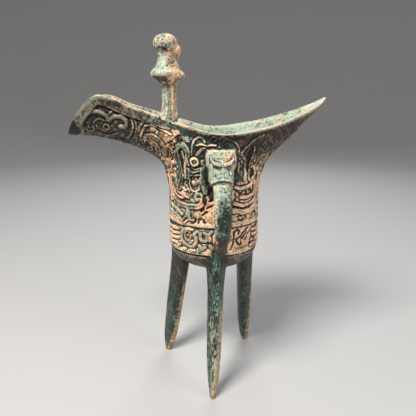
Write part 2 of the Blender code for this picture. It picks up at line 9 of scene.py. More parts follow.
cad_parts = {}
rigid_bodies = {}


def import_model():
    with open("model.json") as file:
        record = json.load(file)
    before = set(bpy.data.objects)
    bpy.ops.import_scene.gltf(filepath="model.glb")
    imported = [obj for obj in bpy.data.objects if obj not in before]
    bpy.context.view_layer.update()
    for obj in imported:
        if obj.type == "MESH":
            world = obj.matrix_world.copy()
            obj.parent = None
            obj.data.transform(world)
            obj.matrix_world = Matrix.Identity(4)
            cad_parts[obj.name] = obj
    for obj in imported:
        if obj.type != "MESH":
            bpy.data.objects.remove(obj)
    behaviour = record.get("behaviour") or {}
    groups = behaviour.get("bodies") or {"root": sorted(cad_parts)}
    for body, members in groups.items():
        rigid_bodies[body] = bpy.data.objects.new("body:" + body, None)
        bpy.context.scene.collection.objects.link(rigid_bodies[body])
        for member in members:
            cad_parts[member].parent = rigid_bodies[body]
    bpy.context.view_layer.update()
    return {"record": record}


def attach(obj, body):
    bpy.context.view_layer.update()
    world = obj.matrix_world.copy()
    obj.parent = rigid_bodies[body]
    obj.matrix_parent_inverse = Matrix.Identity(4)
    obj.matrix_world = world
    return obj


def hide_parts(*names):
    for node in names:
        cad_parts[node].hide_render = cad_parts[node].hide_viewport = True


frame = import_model()
mm = 0.001

# Sizes of the casting, in metres, with the cup's axis upright through the origin,
# the spout along -X and the handle along -Y. They match the solid.
cup = {
    "bowlLow": 73 * mm, "bandLow": 88 * mm, "bandTop": 103.8 * mm, "waist": 124 * mm, "rim": 155.2 * mm,
    "spoutLift": 19.2 * mm, "tailLift": 17.8 * mm, "waistRadius": 26.3 * mm, "shoulder": 26.7 * mm,
    "rimHalfWidth": 29 * mm, "spoutReach": 82 * mm, "spoutHalfWidth": 13.6 * mm, "tailReach": 65.3 * mm,
    "wall": 2.3 * mm, "tipWall": 1.1 * mm, "lipRound": 0.5 * mm,
    "netStep": 0.5 * mm, "wallTriangles": 150000, "coreShare": 0.03, "borderEnd": 27 * mm,
}

farOff = 0.3                                           # metres from the axis, well outside the cup
shelf = bpy.data.collections.new("workingShapes")      # shapes that are used and then removed
bpy.context.scene.collection.children.link(shelf)
bronze = bpy.data.materials.new("buriedBronze")        # its nodes are set under Finish


def makeObject(name, points, faces=(), edges=(), collection=shelf):
    mesh = bpy.data.meshes.new(name)
    mesh.from_pydata([tuple(p) for p in points], [tuple(e) for e in edges], [tuple(f) for f in faces])
    made = bpy.data.objects.new(name, mesh)
    collection.objects.link(made)
    return made


def bake(thing):
    # Turns the object's modifiers into plain mesh
    graph = bpy.context.evaluated_depsgraph_get()
    mesh = bpy.data.meshes.new_from_object(thing.evaluated_get(graph), preserve_all_data_layers=True,
                                           depsgraph=graph)
    thing.modifiers.clear()
    old, thing.data = thing.data, mesh
    bpy.data.meshes.remove(old)
    return thing


def vertexArray(mesh):
    found = np.empty(len(mesh.vertices) * 3, np.float32)
    mesh.vertices.foreach_get("co", found)
    return found.reshape(-1, 3).astype(float)


def normalArray(mesh):
    found = np.empty(len(mesh.vertices) * 3, np.float32)
    mesh.vertex_normals.foreach_get("vector", found)
    return found.reshape(-1, 3).astype(float)


def triangleCount(mesh):
    return sum(len(p.vertices) - 2 for p in mesh.polygons)


def shadeSmooth(mesh):
    for face in mesh.polygons:
        face.use_smooth = True


def giveAttribute(mesh, name, values):
    layer = mesh.attributes.get(name) or mesh.attributes.new(name, "FLOAT", "POINT")
    layer.data.foreach_set("value", np.asarray(values, np.float32))


def smoothStep(low, high, value):
    t = np.clip((value - low) / (high - low), 0, 1)
    return t * t * (3 - 2 * t)


def smoothThrough(points, knots, places, mirrored=False):
    # Reads a smooth curve through points, set at knots, at each of the places
    points, knots, places = np.asarray(points, float), np.asarray(knots, float), np.asarray(places, float)
    shape = (-1,) + (1,) * (points.ndim - 1)
    gaps = np.diff(knots).reshape(shape)
    steps = np.diff(points, axis=0) / gaps
    slopes = np.empty_like(points)
    slopes[1:-1] = (steps[:-1] * gaps[1:] + steps[1:] * gaps[:-1]) / (gaps[1:] + gaps[:-1])
    slopes[0], slopes[-1] = steps[0], steps[-1]
    if mirrored:                                        # no kink where the curve meets its mirror image
        slopes[0] *= np.array([0, 1, 0])
        slopes[-1] *= np.array([0, 1, 0])
    left = np.clip(np.searchsorted(knots, places, side="right") - 1, 0, len(knots) - 2)
    gap = gaps[left]
    t = (places - knots[left]).reshape(shape) / gap
    p0, p1, m0, m1 = points[left], points[left + 1], slopes[left] * gap, slopes[left + 1] * gap
    return ((1 + 2 * t) * (1 - t) ** 2 * p0 + t * (1 - t) ** 2 * m0
            + t * t * (3 - 2 * t) * p1 + t * t * (t - 1) * m1)


def alongLine(points, step):
    # The same line as a smooth curve with a point every step
    points = np.asarray(points, float)
    knots = np.append(0, np.cumsum(np.linalg.norm(np.diff(points, axis=0), axis=1)))
    count = max(2, int(knots[-1] / step))
    return smoothThrough(points, knots, np.linspace(0, knots[-1], count + 1))


# The wall

def spoutPoint(reach, width, lift):
    return (-reach * cup["spoutReach"], -width * cup["spoutHalfWidth"], cup["rim"] + lift * cup["spoutLift"])


def tailPoint(reach, width, lift):
    return (reach * cup["tailReach"], -width * cup["rimHalfWidth"], cup["rim"] + lift * cup["tailLift"])


def throatPoint(angle, spread, height):
    a = math.radians(angle)
    radius = spread * cup["waistRadius"]
    z = cup["waist"] + height * (cup["rim"] - cup["waist"])
    return (-radius * math.cos(a), -radius * math.sin(a), z)


def roundRing(z, radius):
    turns = [math.radians(angle) for angle in (0, 5.5, 12, 19, 29.5, 50, 90, 130, 154.5, 170.5, 180)]
    return [(-radius * math.cos(a), -radius * math.sin(a), z) for a in turns]


def guideRings():
    # Rings of the wall from the lower band up to the rim, from the spout's keel to the tail's
    throat = [
        throatPoint(0, 1.209, 0.50), throatPoint(5.4, 1.207, 0.505), throatPoint(11.7, 1.204, 0.53),
        throatPoint(18.7, 1.189, 0.57), throatPoint(29.3, 1.134, 0.59), throatPoint(49.6, 1.032, 0.51),
        throatPoint(90, 1.020, 0.40), throatPoint(130.4, 1.032, 0.45), throatPoint(154.7, 1.114, 0.48),
        throatPoint(170.5, 1.153, 0.47), throatPoint(180, 1.164, 0.465),
    ]
    trough = [
        spoutPoint(0.695, 0, -0.23), spoutPoint(0.689, 0.33, -0.18), spoutPoint(0.665, 0.63, -0.05),
        spoutPoint(0.610, 0.90, 0.19), spoutPoint(0.476, 1.16, 0.12), throatPoint(46.7, 1.19, 0.85),
        throatPoint(90, 1.058, 0.69), throatPoint(132.8, 1.203, 0.77), tailPoint(0.551, 0.586, -0.25),
        tailPoint(0.658, 0.310, -0.13), tailPoint(0.705, 0, -0.035),
    ]
    rim = [
        spoutPoint(1.0, 0, -0.04), spoutPoint(0.971, 0.51, 0.16), spoutPoint(0.888, 0.85, 0.64),
        spoutPoint(0.793, 0.934, 0.995), spoutPoint(0.573, 1.088, 0.72), spoutPoint(0.293, 1.787, 0.33),
        tailPoint(0, 1.0, 0), tailPoint(0.368, 0.89, 0.13), tailPoint(0.704, 0.569, 0.46),
        tailPoint(0.926, 0.241, 0.79), tailPoint(1.0, 0, 1.0),
    ]
    band, waist = roundRing(cup["bandTop"], cup["shoulder"]), roundRing(cup["waist"], cup["waistRadius"])
    return np.array([band, waist, throat, trough, rim])


def bowlProfile(step):
    count = int((cup["bandTop"] - cup["bandLow"]) / step)
    profile = [(cup["shoulder"], cup["bandTop"] - (cup["bandTop"] - cup["bandLow"]) * i / count)
               for i in range(1, count + 1)]
    turns = int(cup["shoulder"] / step)
    rise = cup["bandLow"] - cup["bowlLow"]
    for i in range(1, turns):
        a = 0.5 * math.pi * i / turns
        profile.append((cup["shoulder"] * math.cos(a) ** 0.86, cup["bandLow"] - rise * math.sin(a)))
    return profile


def wallNet(columnStep, rowStep):
    # Rows of points from the rim down to the bowl, columns all round
    rings = guideRings()
    knots = np.append(0, np.cumsum(np.linalg.norm(np.diff(rings[-1], axis=0), axis=1)))
    places = np.linspace(0, knots[-1], int(knots[-1] / columnStep) + 1)
    fine = np.array([smoothThrough(ring, knots, places, mirrored=True) for ring in rings])
    heights = np.append(0, np.cumsum(np.linalg.norm(np.diff(fine, axis=0), axis=2).mean(axis=1)))
    half = smoothThrough(fine, heights, np.linspace(heights[-1], 0, int(heights[-1] / rowStep) + 1))
    half[:, (0, -1), 1] = 0
    angles = np.arctan2(-half[-1, :, 1], -half[-1, :, 0])
    turned = [np.stack([-r * np.cos(angles), -r * np.sin(angles), np.full(len(angles), z)], 1)
              for r, z in bowlProfile(rowStep)]
    half = np.concatenate([half, np.array(turned)])
    half[:, (0, -1), 1] = 0
    other = half[:, -2:0:-1] * np.array([1, -1, 1])
    return np.concatenate([half, other], axis=1)


def netFaces(rows, columns):
    j, i = np.meshgrid(np.arange(rows - 1), np.arange(columns), indexing="ij")
    k = (i + 1) % columns
    quads = np.stack([j * columns + i, (j + 1) * columns + i, (j + 1) * columns + k, j * columns + k], -1)
    last, pole = (rows - 1) * columns, rows * columns
    cap = [(last + n, pole, last + (n + 1) % columns) for n in range(columns)]
    return [tuple(q) for q in quads.reshape(-1, 4).tolist()] + cap


def smoothWall(columnStep, rowStep):
    net = wallNet(columnStep, rowStep)
    rows, columns = net.shape[:2]
    points = np.concatenate([net.reshape(-1, 3), [[0, 0, cup["bowlLow"]]]])
    faces = netFaces(rows, columns)
    made = makeObject("smoothWall", points, faces)
    return made, points, normalArray(made.data), faces, columns


def wallThickness(points):
    nearTip = smoothStep(0.80 * cup["tailReach"], cup["tailReach"], points[:, 0])
    return (cup["wall"] + (cup["tipWall"] - cup["wall"]) * nearTip)[:, None]


# The carved lines. On the body a place is (degrees round from the handle, mm above the lower
# band's top), on the band below it the same with mm below zero, and on the spout (x, z) in mm.
carving = {
    "height": 1.15 * mm, "waver": 1.0 * mm, "wornShare": 0.72,
    "cloudWidth": 2.3 * mm, "boldWidth": 2.8 * mm, "middleWidth": 1.75 * mm, "fineWidth": 1.1 * mm,
    "borderWidth": 4.7 * mm, "borderHeight": 0.75 * mm, "bandHeight": 0.5 * mm,
    "grooveWidth": 1.3 * mm, "grooveDepth": 0.6 * mm, "moatWidth": 1.0 * mm, "moatDepth": 0.3 * mm,
    "spiralTurns": 1.6, "cutWidth": 1.4 * mm, "cutDepth": 0.6 * mm,
    "roughness": 0.22 * mm, "groundSpacing": 3.1 * mm, "groundSize": 1.45 * mm, "groundTurns": 1.7,
    "groundHeight": 0.6 * mm, "seed": 7,
    "waverFrequency": 260.0, "wornFrequency": 150.0, "roughFrequency": 750.0,
}
bodyLines = {
    "crest": ("bold", [(-48.7, 37), (-47.6, 42), (-43.5, 45.4), (-39, 46.4), (-35.6, 44), (-37.2, 37),
                       (-38.3, 28.5)]),
    "crestInside": ("fine", [(-40.8, 42.8), (-41.4, 36), (-41.8, 27.5)]),
    "crestOutside": ("middle", [(-47.4, 37), (-46.2, 33), (-45.8, 28.5)]),
    "horn": ("fine", [(-30.4, 41), (-29.8, 43.5), (-28.2, 46.8), (-25.6, 49.2), (-22, 50.3), (-17.5, 49.8),
                      (-15, 47.8)]),
    "hornBar": ("fine", [(-24, 46.2), (-18.9, 46.9), (-14.5, 46.2)]),
    "longBar": ("fine", [(-12.5, 45.9), (-8, 46.4), (-4, 46.3)]),
    "leaf": ("middle", [(-24.2, 41.4), (-20.5, 43.4), (-17.8, 44.5), (-15.1, 44.4), (-14.5, 41.9)]),
    "underEye": ("fine", [(-36, 34), (-32, 33), (-28.7, 32.8), (-24.5, 33.3), (-21.2, 34.6)]),
    "cheekBarOne": ("fine", [(-36.2, 31.2), (-29, 31.1), (-22.8, 32.2)]),
    "cheekBarTwo": ("fine", [(-36.4, 29.4), (-29, 29.2), (-22.9, 30)]),
    "hangingBar": ("bold", [(-18.7, 37), (-19.2, 31), (-18.7, 25.3), (-15.6, 20.8)]),
    "hangingEdge": ("fine", [(-15.6, 33), (-15.8, 28), (-13.6, 23)]),
    "sweep": ("bold", [(-64.6, 27.5), (-69.2, 22), (-68.6, 16.6), (-63, 14.2), (-55, 13), (-44.4, 12.2),
                       (-33, 11.8),
                       (-26, 12.1), (-21, 13.6), (-18.6, 16.2)]),
    "sweepInside": ("fine", [(-61.5, 24), (-64.3, 20.5), (-61.5, 17.6), (-53, 16.4), (-44, 15.8)]),
    "innerLeg": ("bold", [(-55.6, 31.5), (-57.6, 26.5), (-56.6, 22.4), (-52, 21.6), (-48, 24.6), (-46, 29)]),
    "innerLegEdge": ("fine", [(-51.8, 31), (-52.6, 27.5), (-51.2, 25.4)]),
    "curlOne": ("fine", [(-45, 22.2), (-41.5, 20.6), (-38.5, 21.8), (-36, 20.2)]),
    "lowSweep": ("middle", [(-76, 10.2), (-66, 9.4), (-56, 8.6), (-47, 6.6)]),
    "lowSweepTwo": ("fine", [(-76, 6.6), (-66, 6), (-56, 5), (-49, 3.6)]),
    "stem": ("bold", [(-38.9, 11.4), (-38.8, 7), (-41, 4.6), (-44.3, 2.9)]),
    "stemFoot": ("middle", [(-38.4, 7), (-36.6, 4.4), (-33.4, 3), (-30.8, 4)]),
    "sideBar": ("middle", [(-76, 27), (-74.5, 22), (-76.5, 17), (-75, 12.5)]),
    "maskHook": ("fine", [(4, 49.4), (11.9, 48.7), (16.4, 47.5), (19.2, 46), (21.4, 43.9), (21.7, 39.4)]),
    "maskScrollOne": ("fine", [(-9, 49.3), (-5.8, 50.6), (-3, 49.5), (-5.2, 48.4)]),
    "maskScrollTwo": ("fine", [(0.4, 49.2), (3.4, 50.6), (6.4, 49.6), (4.2, 48.3)]),
    "blade": ("fine", [(24.9, 41.3), (27.2, 43.5), (31, 45.7), (35.1, 48), (38.2, 49.2), (44, 51)]),
    "bladeInside": ("fine", [(38.2, 45), (39.9, 38.5), (39.2, 36.1), (39.5, 33), (39.1, 29.9), (40.5, 26.6),
                             (46, 24.8)]),
    "downBar": ("middle", [(23.6, 40.6), (27.3, 40.1), (31, 38), (33.4, 34.2), (34.4, 30.4), (33.6, 26.6)]),
    "backBar": ("fine", [(42, 33), (44.6, 33.6), (48.2, 31.2), (49.6, 28.6), (45, 26.8)]),
    "tailHorn": ("fine", [(48, 33), (52, 38), (58, 41.5), (66, 43)]),
    "tailLoop": ("fine", [(46, 29.5), (50.5, 33.6), (56, 36.4), (63, 37.6)]),
    "ribOne": ("middle", [(21, 22.9), (26.7, 22), (33, 21.9), (39.5, 22.4), (44.6, 23.6), (47.6, 26)]),
    "ribTwo": ("middle", [(29, 17), (36.8, 16.4), (43.7, 16.7), (49.4, 17.8), (52.6, 20.4), (52, 24.6)]),
    "ribThree": ("fine", [(30, 14.5), (40, 14.2), (46.4, 15)]),
    "ribFour": ("middle", [(20, 13.8), (27.1, 12.5), (34.8, 12), (42.5, 12.6), (50.4, 13.4), (56.8, 16),
                           (59.6, 22), (60, 29)]),
    "ribFive": ("bold", [(19.5, 9.6), (26, 9.4), (31.5, 8.2), (40.2, 8.6), (50, 9.6), (58, 12.4)]),
    "tailBar": ("middle", [(72, 36), (70.5, 29), (71.5, 20), (69, 12)]),
    "tailEdge": ("bold", [(82, 38), (79.5, 30), (80, 20), (77.5, 10)]),
    "keelRidge": ("bold", [(-89.6, 40), (-89.6, 24), (-89.6, 8)]),
    "keelHook": ("fine", [(-86, 12), (-82.5, 9), (-84, 5.6), (-88, 4.6)]),
    "volute": ("middle", [(-21.9, 14.2), (-19.3, 17.1), (-22.7, 19.3), (-27.5, 19), (-29, 17.1),
                          (-26.8, 15.8), (-24.2, 16.4)]),
    "shield": ("cloud", [(-30.2, 25.6), (-29.4, 24.8)]),
    "shieldEdge": ("fine", [(-35.6, 27.8), (-35.6, 23.6), (-33.4, 21.2), (-29.4, 20.6), (-25.2, 21.2),
                            (-23.2, 23.4), (-22.6, 28)]),
    "mintBar": ("fine", [(23.8, 36.4), (24.6, 30.6)]),
    "tailFoot": ("middle", [(58.8, 11), (58.6, 8), (62, 5.6)]),
    "underEyeCut": ("cut", [(-37.5, 34.3), (-30.9, 33.2), (-24.5, 34.4), (-19.8, 34.8)]),
    "combCutOne": ("cut", [(-34.6, 28.4), (-34, 27.6)]),
    "combCutTwo": ("cut", [(-30.8, 29), (-30.2, 28.2)]),
    "combCutThree": ("cut", [(-26, 28.6), (-25.4, 27.8)]),
    "curlCut": ("cut", [(-46.5, 14.8), (-43.5, 15.8), (-38.2, 15.4)]),
    "commaCutOne": ("cut", [(-44.7, 2.5), (-42, 4.2), (-38.7, 5)]),
    "commaCutTwo": ("cut", [(-35.4, 3.1), (-32.2, 2.6), (-29.8, 3.4), (-28.7, 4.9)]),
    "commaCutThree": ("cut", [(-25.1, 2.8), (-23.6, 4.6), (-21.5, 5.4)]),
    "commaCutFour": ("cut", [(-18.9, 4.9), (-17.1, 3)]),
    "leafCutOne": ("cut", [(-19.4, 7.6), (-14, 9.2)]),
    "leafCutTwo": ("cut", [(-14, 11.4), (-8, 12.9)]),
    "leafCutThree": ("cut", [(-22, 9.6), (-18, 11)]),
    "leafCutFour": ("cut", [(-11, 15.4), (-6, 16.6)]),
    "leafCutFive": ("cut", [(-12.4, 19.4), (-9, 22.6)]),
    "curlCutFour": ("cut", [(-40.7, 48.8), (-41.2, 49.6), (-43, 49), (-41.6, 47.4), (-38.6, 48.6),
                            (-40.6, 51), (-44.6, 50)]),
    "curlCutFive": ("cut", [(-49.6, 45.4), (-50.4, 46.2), (-51.8, 45), (-50, 43.6), (-46.8, 45), (-49, 47.6),
                            (-53.4, 46.6)]),
    "curlCutSix": ("cut", [(-58.6, 39.4), (-60.2, 38.6), (-58.8, 37), (-56, 38.4), (-57.6, 41)]),
    "curlCutSeven": ("cut", [(-61, 32.4), (-62.4, 31.4), (-60.6, 30), (-58, 31.6), (-60, 34.2)]),
    "slitOne": ("cut", [(22.6, 21.2), (26, 19.8), (29.5, 18.4)]),
    "slitTwo": ("cut", [(30.7, 19), (33, 20.2), (36.5, 20), (38, 18.6), (35.6, 17.9)]),
    "slitThree": ("cut", [(42.4, 20.4), (45.4, 20), (46.8, 18.5)]),
    "slitFour": ("cut", [(19.6, 11.6), (24, 11.2), (29.7, 10.7)]),
    "slitFive": ("cut", [(36.3, 10.2), (43, 10.8), (48.5, 11.8)]),
    "slitSix": ("cut", [(21, 19), (22.4, 16.6), (20.6, 15.6)]),
    "curlCutOne": ("cut", [(25.6, 5.4), (28.6, 6.4), (31.7, 5.6)]),
    "curlCutTwo": ("cut", [(26.8, 4), (30.4, 3.4), (33.6, 4)]),
    "curlCutThree": ("cut", [(36.6, 6.6), (37.4, 4.8)]),
    "backCutOne": ("cut", [(62, 8.6), (66, 6.4), (71, 6)]),
    "backCutTwo": ("cut", [(49, 5.2), (54, 6.4), (59, 6)]),
    "backCutThree": ("cut", [(64.6, 15), (67.4, 20), (67.6, 26)]),
}
bandLines = {
    "ring": ("middle", [(-33, -1.4), (-40, -1.5), (-46, -2.7), (-48.8, -5.6), (-46.8, -9), (-40, -11.3),
                        (-32.6, -11.5),
                        (-28, -9.4), (-27.6, -6), (-29.6, -3.6), (-26, -2.2)]),
    "ringInside": ("fine", [(-34.9, -6.4), (-38.5, -8.5), (-42.6, -7.2), (-43.4, -4.3), (-39, -2.4),
                            (-35.4, -3.6)]),
    "ringEye": ("fine", [(-39.6, -5.4), (-38.8, -5)]),
    "hook": ("middle", [(-21.8, -3), (-22.2, -5.6), (-18.7, -7.6), (-14.6, -6.8), (-14, -3.8), (-17, -2.8)]),
    "hookTwo": ("middle", [(-8.2, -1.8), (-11.2, -3.8), (-10.4, -7)]),
    "blobOne": ("middle", [(-54.6, -12.7), (-52, -12.3)]),
    "blobTwo": ("middle", [(-45.6, -13.9), (-42.6, -13.7)]),
    "blobThree": ("middle", [(-34, -13.8), (-30, -13.6)]),
    "blobFour": ("middle", [(-23.4, -10.4), (-20.3, -12.4), (-16.6, -11.2)]),
    "blobFive": ("middle", [(-10, -10), (-7, -12), (-4, -10.6)]),
    "leftRibOne": ("middle", [(-82, -3.2), (-66, -3.2), (-53.4, -2.6)]),
    "leftRibTwo": ("middle", [(-82, -6.2), (-66, -6.4), (-54.8, -5.4)]),
    "leftRibThree": ("middle", [(-82, -9), (-66, -9.2), (-54, -8.1)]),
    "leftRibFour": ("middle", [(-80, -11.8), (-66, -12.2), (-57, -11.2)]),
    "rightStroke": ("cut", [(20.2, -3), (19.4, -6.3), (18.6, -9.5), (15.4, -12.9)]),
    "slant": ("cut", [(22.3, -7.4), (26.6, -6.8), (30.1, -5.8), (33.4, -4.2), (36.4, -3), (41.2, -1.9)]),
    "curl": ("cut", [(23.7, -8.2), (25, -9.8), (28, -10.9), (30.6, -10.4), (29.6, -9.2)]),
    "smallCurl": ("cut", [(45.1, -12.4), (50, -10.9), (56.9, -10.2)]),
    "hookCut": ("cut", [(20.2, -2.9), (23.9, -2), (27, -2.6), (26.2, -4.2)]),
    "slantTwo": ("cut", [(30.6, -7.6), (34.6, -6.2), (38.4, -4.2)]),
    "speckCut": ("cut", [(37, -8.6), (39.4, -7.2)]),
    "speckCutTwo": ("cut", [(41.5, -5.6), (43.8, -4.4)]),
    "rightRibOne": ("middle", [(51.3, -4), (60, -4.2), (70, -3)]),
    "rightRibTwo": ("middle", [(51.3, -7), (60, -7.4), (70, -6.2)]),
    "rightRibThree": ("middle", [(48.5, -10.2), (60, -10.6), (70, -9.4)]),
    "rightRibFour": ("middle", [(46, -12.9), (58, -13.2), (68, -12.4)]),
}
spoutLines = {
    "cloudLeft": ("cloud", [(-73.4, 156.4), (-73.1, 159), (-71.2, 163.2), (-69.1, 165.6), (-65.6, 166.8),
                            (-62.2, 166.3),
                           (-59.9, 165.2), (-58.7, 163.8), (-58.3, 162.2)]),
    "cloudRight": ("fine", [(-58.6, 164.2), (-57.1, 166.2), (-54.7, 167.2), (-51.3, 166.9), (-48.2, 165.4),
                            (-46.3, 163.9),
                            (-45.3, 161.6), (-45.3, 158.1), (-46.6, 155.1), (-48.6, 152.8)]),
    "rollRight": ("cloud", [(-58.2, 162), (-56.2, 163.8), (-53.2, 164.4), (-50.3, 163.7), (-48.6, 162.1),
                            (-48.5, 159.9),
                           (-50.3, 158.6), (-52.4, 158.9)]),
    "rollLeft": ("fine", [(-66.4, 160.8), (-65, 162.4), (-62.7, 162.9), (-61.1, 162.1), (-58.8, 161.8)]),
    "lineTwo": ("fine", [(-44.6, 163.4), (-43.3, 160.5), (-43.5, 157), (-44.7, 153.3), (-46.4, 151.6)]),
    "swanOutside": ("fine", [(-44.5, 150.4), (-42.3, 156.4), (-40.9, 160), (-39, 161.8), (-36.1, 162.2),
                             (-32.6, 161.4),
                             (-29, 159.9), (-25.6, 158.4)]),
    "swanInside": ("fine", [(-42.6, 150.8), (-41.4, 154), (-39.9, 157.1), (-38.2, 159.4), (-35.6, 159.9),
                            (-32, 158.6),
                            (-28, 156.8), (-25, 155.3)]),
    "lowHook": ("fine", [(-71.4, 158.6), (-70.2, 156.8), (-68.4, 156.2), (-66.8, 157.4), (-67.2, 159.4)]),
    "chin": ("fine", [(-65, 155.6), (-61, 154.2), (-56.4, 154.4), (-53.4, 155.6)]),
    "lowCloud": ("fine", [(-57, 151.8), (-52.4, 151.4), (-49.6, 150.8)]),
    "archOne": ("middle", [(-38.2, 154.6), (-34.2, 154.4), (-30.4, 151.4), (-28, 147.4), (-28, 143.6)]),
    "archTwo": ("fine", [(-39.8, 149.8), (-38.8, 151.6), (-35.6, 151.4), (-32.6, 149.2), (-31.2, 146),
                         (-31.2, 142.6)]),
    "archHook": ("fine", [(-40.6, 152.4), (-41.2, 150.2), (-39.6, 148.4)]),
}
# Bosses: place and radius in mm
bodyBosses = [(-28.4, 37.1, 2.9)]
spoutBosses = [(-59.7, 158.6, 2.2), (-36.6, 146.9, 2.0)]
# Small spirals that fill the ground: place and radius in mm
bodySpirals = [
    (-66.5, 41.3, 2.0), (-67.4, 35, 2.0),
    (-33.4, 49.3, 1.9), (-10, 42, 2.2), (-10, 36, 2.0), (-10.6, 30, 2.0), (-10, 24, 2.0),
    (-50.8, 27.6, 1.2), (-77, 44, 2.3), (-70, 49, 2.2), (13.6, 42, 2.0), (13.8, 36, 2.0), (14.4, 30, 1.9),
    (14.6, 24, 1.9), (29, 51.6, 2.0), (47, 42.4, 2.0), (57, 46.4, 2.1), (52, 9, 0.1), (66, 34, 2.0),
    (46.6, 26, 1.5),
    (-12.8, 17.4, 1.5), (-74, 14, 1.6), (77, 40, 2.1), (81, 26, 2.1), (80, 12, 2.1),
]
bandSpirals = [(-36, -8.9, 1.2), (14.6, -5, 1.8), (-62, -13.6, 0.9), (79, -7.6, 2.4)]
spoutSpirals = [(-35, 164.8, 1.2), (-52.6, 156.6, 1.0), (-33, 146.6, 1.0)]


def layOnWall(tree, kind, places):
    # Puts flat places on the near side of the wall; returns each point and the wall's normal there
    laid = []
    for first, second in places:
        if kind == "spout":
            origin, direction = Vector((first * mm, -farOff, second * mm)), Vector((0, 1, 0))
        else:
            a = math.radians(first)
            origin = Vector((farOff * math.sin(a), -farOff * math.cos(a), cup["bandTop"] + second * mm))
            direction = Vector((-math.sin(a), math.cos(a), 0))
        hit, normal, _, _ = tree.ray_cast(origin, direction)
        if hit is not None:
            laid.append((hit, normal))
    return laid


def mirrored(point):
    return Vector((point.x, -point.y, point.z))


def carvedLineObjects(tree):
    # One object of polylines for each width, on both sides of the cup
    found = {width: ([], []) for width in ("cloud", "bold", "middle", "fine", "cut")}
    for kind, lines, stretch in (("body", bodyLines, 0.47), ("body", bandLines, 0.47),
                                 ("spout", spoutLines, 1.0)):
        for width, places in lines.values():
            smooth = alongLine(np.array(places, float) * (stretch, 1), 0.5) / (stretch, 1)
            laid = [point for point, _ in layOnWall(tree, kind, smooth)]
            points, edges = found[width]
            for side in (laid, [mirrored(p) for p in laid]):
                start = len(points)
                points.extend(side)
                edges.extend((n, n + 1) for n in range(start, len(points) - 1))
    return {width: makeObject(width + "Lines", points, edges=edges) for width,
            (points, edges) in found.items()}


def spotObject(name, tree, groups):
    points, radii, facing = [], [], []
    for kind, spots in groups:
        for first, second, radius in spots:
            for point, normal in layOnWall(tree, kind, [(first, second)]):
                points += [point, mirrored(point)]
                facing += [normal, mirrored(normal)]
                radii += [radius * mm] * 2
    made = makeObject(name, points)
    giveAttribute(made.data, "radius", radii)
    layer = made.data.attributes.new("facing", "FLOAT_VECTOR", "POINT")
    layer.data.foreach_set("vector", np.array(facing, np.float32).ravel())
    return made


# Node trees

def put(tree, kind, sockets=None, **settings):
    node = tree.nodes.new(kind)
    for key, value in settings.items():
        setattr(node, key, value)
    for key, value in (sockets or {}).items():
        socket = node.inputs[key]
        if isinstance(value, bpy.types.NodeSocket):
            tree.links.new(value, socket)
        else:
            socket.default_value = value
    return node


def calc(tree, operation, *values, clamp=False):
    node = put(tree, "ShaderNodeMath", dict(enumerate(values)), operation=operation)
    node.use_clamp = clamp
    return node.outputs[0]


def times(tree, first, second, clamp=False):
    return calc(tree, "MULTIPLY", first, second, clamp=clamp)


def plus(tree, first, second):
    return calc(tree, "ADD", first, second)


def minus(tree, first, second):
    return calc(tree, "SUBTRACT", first, second)


def vectorCalc(tree, operation, *values):
    node = put(tree, "ShaderNodeVectorMath", dict(enumerate(values)), operation=operation)
    return node.outputs["Value" if operation == "DOT_PRODUCT" else "Vector"]


def scaled(tree, vector, factor):
    return put(tree, "ShaderNodeVectorMath", {0: vector, "Scale": factor},
               operation="SCALE").outputs["Vector"]


def remap(tree, value, low, high, toLow=0.0, toHigh=1.0, kind="SMOOTHSTEP"):
    sockets = {"Value": value, "From Min": low, "From Max": high, "To Min": toLow, "To Max": toHigh}
    return put(tree, "ShaderNodeMapRange", sockets, interpolation_type=kind).outputs["Result"]


def curveThrough(tree, value, places):
    node = put(tree, "ShaderNodeFloatCurve", {"Value": value})
    line = node.mapping.curves[0]
    for place in places[1:-1]:
        line.points.new(*place)
    line.points[0].location, line.points[len(places) - 1].location = places[0], places[-1]
    node.mapping.update()
    return node.outputs["Value"]


def openTree(name, inputs):
    tree = bpy.data.node_groups.new(name, "GeometryNodeTree")
    tree.interface.new_socket("Geometry", in_out="INPUT", socket_type="NodeSocketGeometry")
    tree.interface.new_socket("Geometry", in_out="OUTPUT", socket_type="NodeSocketGeometry")
    for label, value in inputs.items():
        if isinstance(value, bpy.types.Object):
            tree.interface.new_socket(label, in_out="INPUT", socket_type="NodeSocketObject")
        else:
            kind = "NodeSocketInt" if isinstance(value, int) else "NodeSocketFloat"
            tree.interface.new_socket(label, in_out="INPUT", socket_type=kind).default_value = value
    return tree, tree.nodes.new("NodeGroupInput").outputs


def closeTree(tree, geometry):
    real = put(tree, "GeometryNodeRealizeInstances", {"Geometry": geometry}).outputs[0]
    coated = put(tree, "GeometryNodeSetMaterial", {"Geometry": real, "Material": bronze}).outputs[0]
    put(tree, "NodeGroupOutput", {"Geometry": coated})


def asInputs(settings):
    # The settings as inputs of a tree: cloudWidth becomes Cloud Width
    spaced = {name: "".join(" " + c if c.isupper() else c for c in name) for name in settings}
    return {spaced[name][0].upper() + spaced[name][1:]: value for name, value in settings.items()}


def runTree(thing, tree, inputs):
    step = thing.modifiers.new(tree.name, "NODES")
    step.node_group = tree
    for socket in tree.interface.items_tree:
        if socket.in_out == "INPUT" and socket.name in inputs:
            step[socket.identifier] = inputs[socket.name]
    return bake(thing)


def meshOf(tree, thing):
    return put(tree, "GeometryNodeObjectInfo", {"Object": thing}).outputs["Geometry"]


def distanceTo(tree, geometry, element, place=None):
    sockets = {"Geometry": geometry} if place is None else {"Geometry": geometry, "Sample Position": place}
    return put(tree, "GeometryNodeProximity", sockets, target_element=element).outputs["Distance"]


def readNumber(tree, name):
    return put(tree, "GeometryNodeInputNamedAttribute", {"Name": name}, data_type="FLOAT").outputs[0]


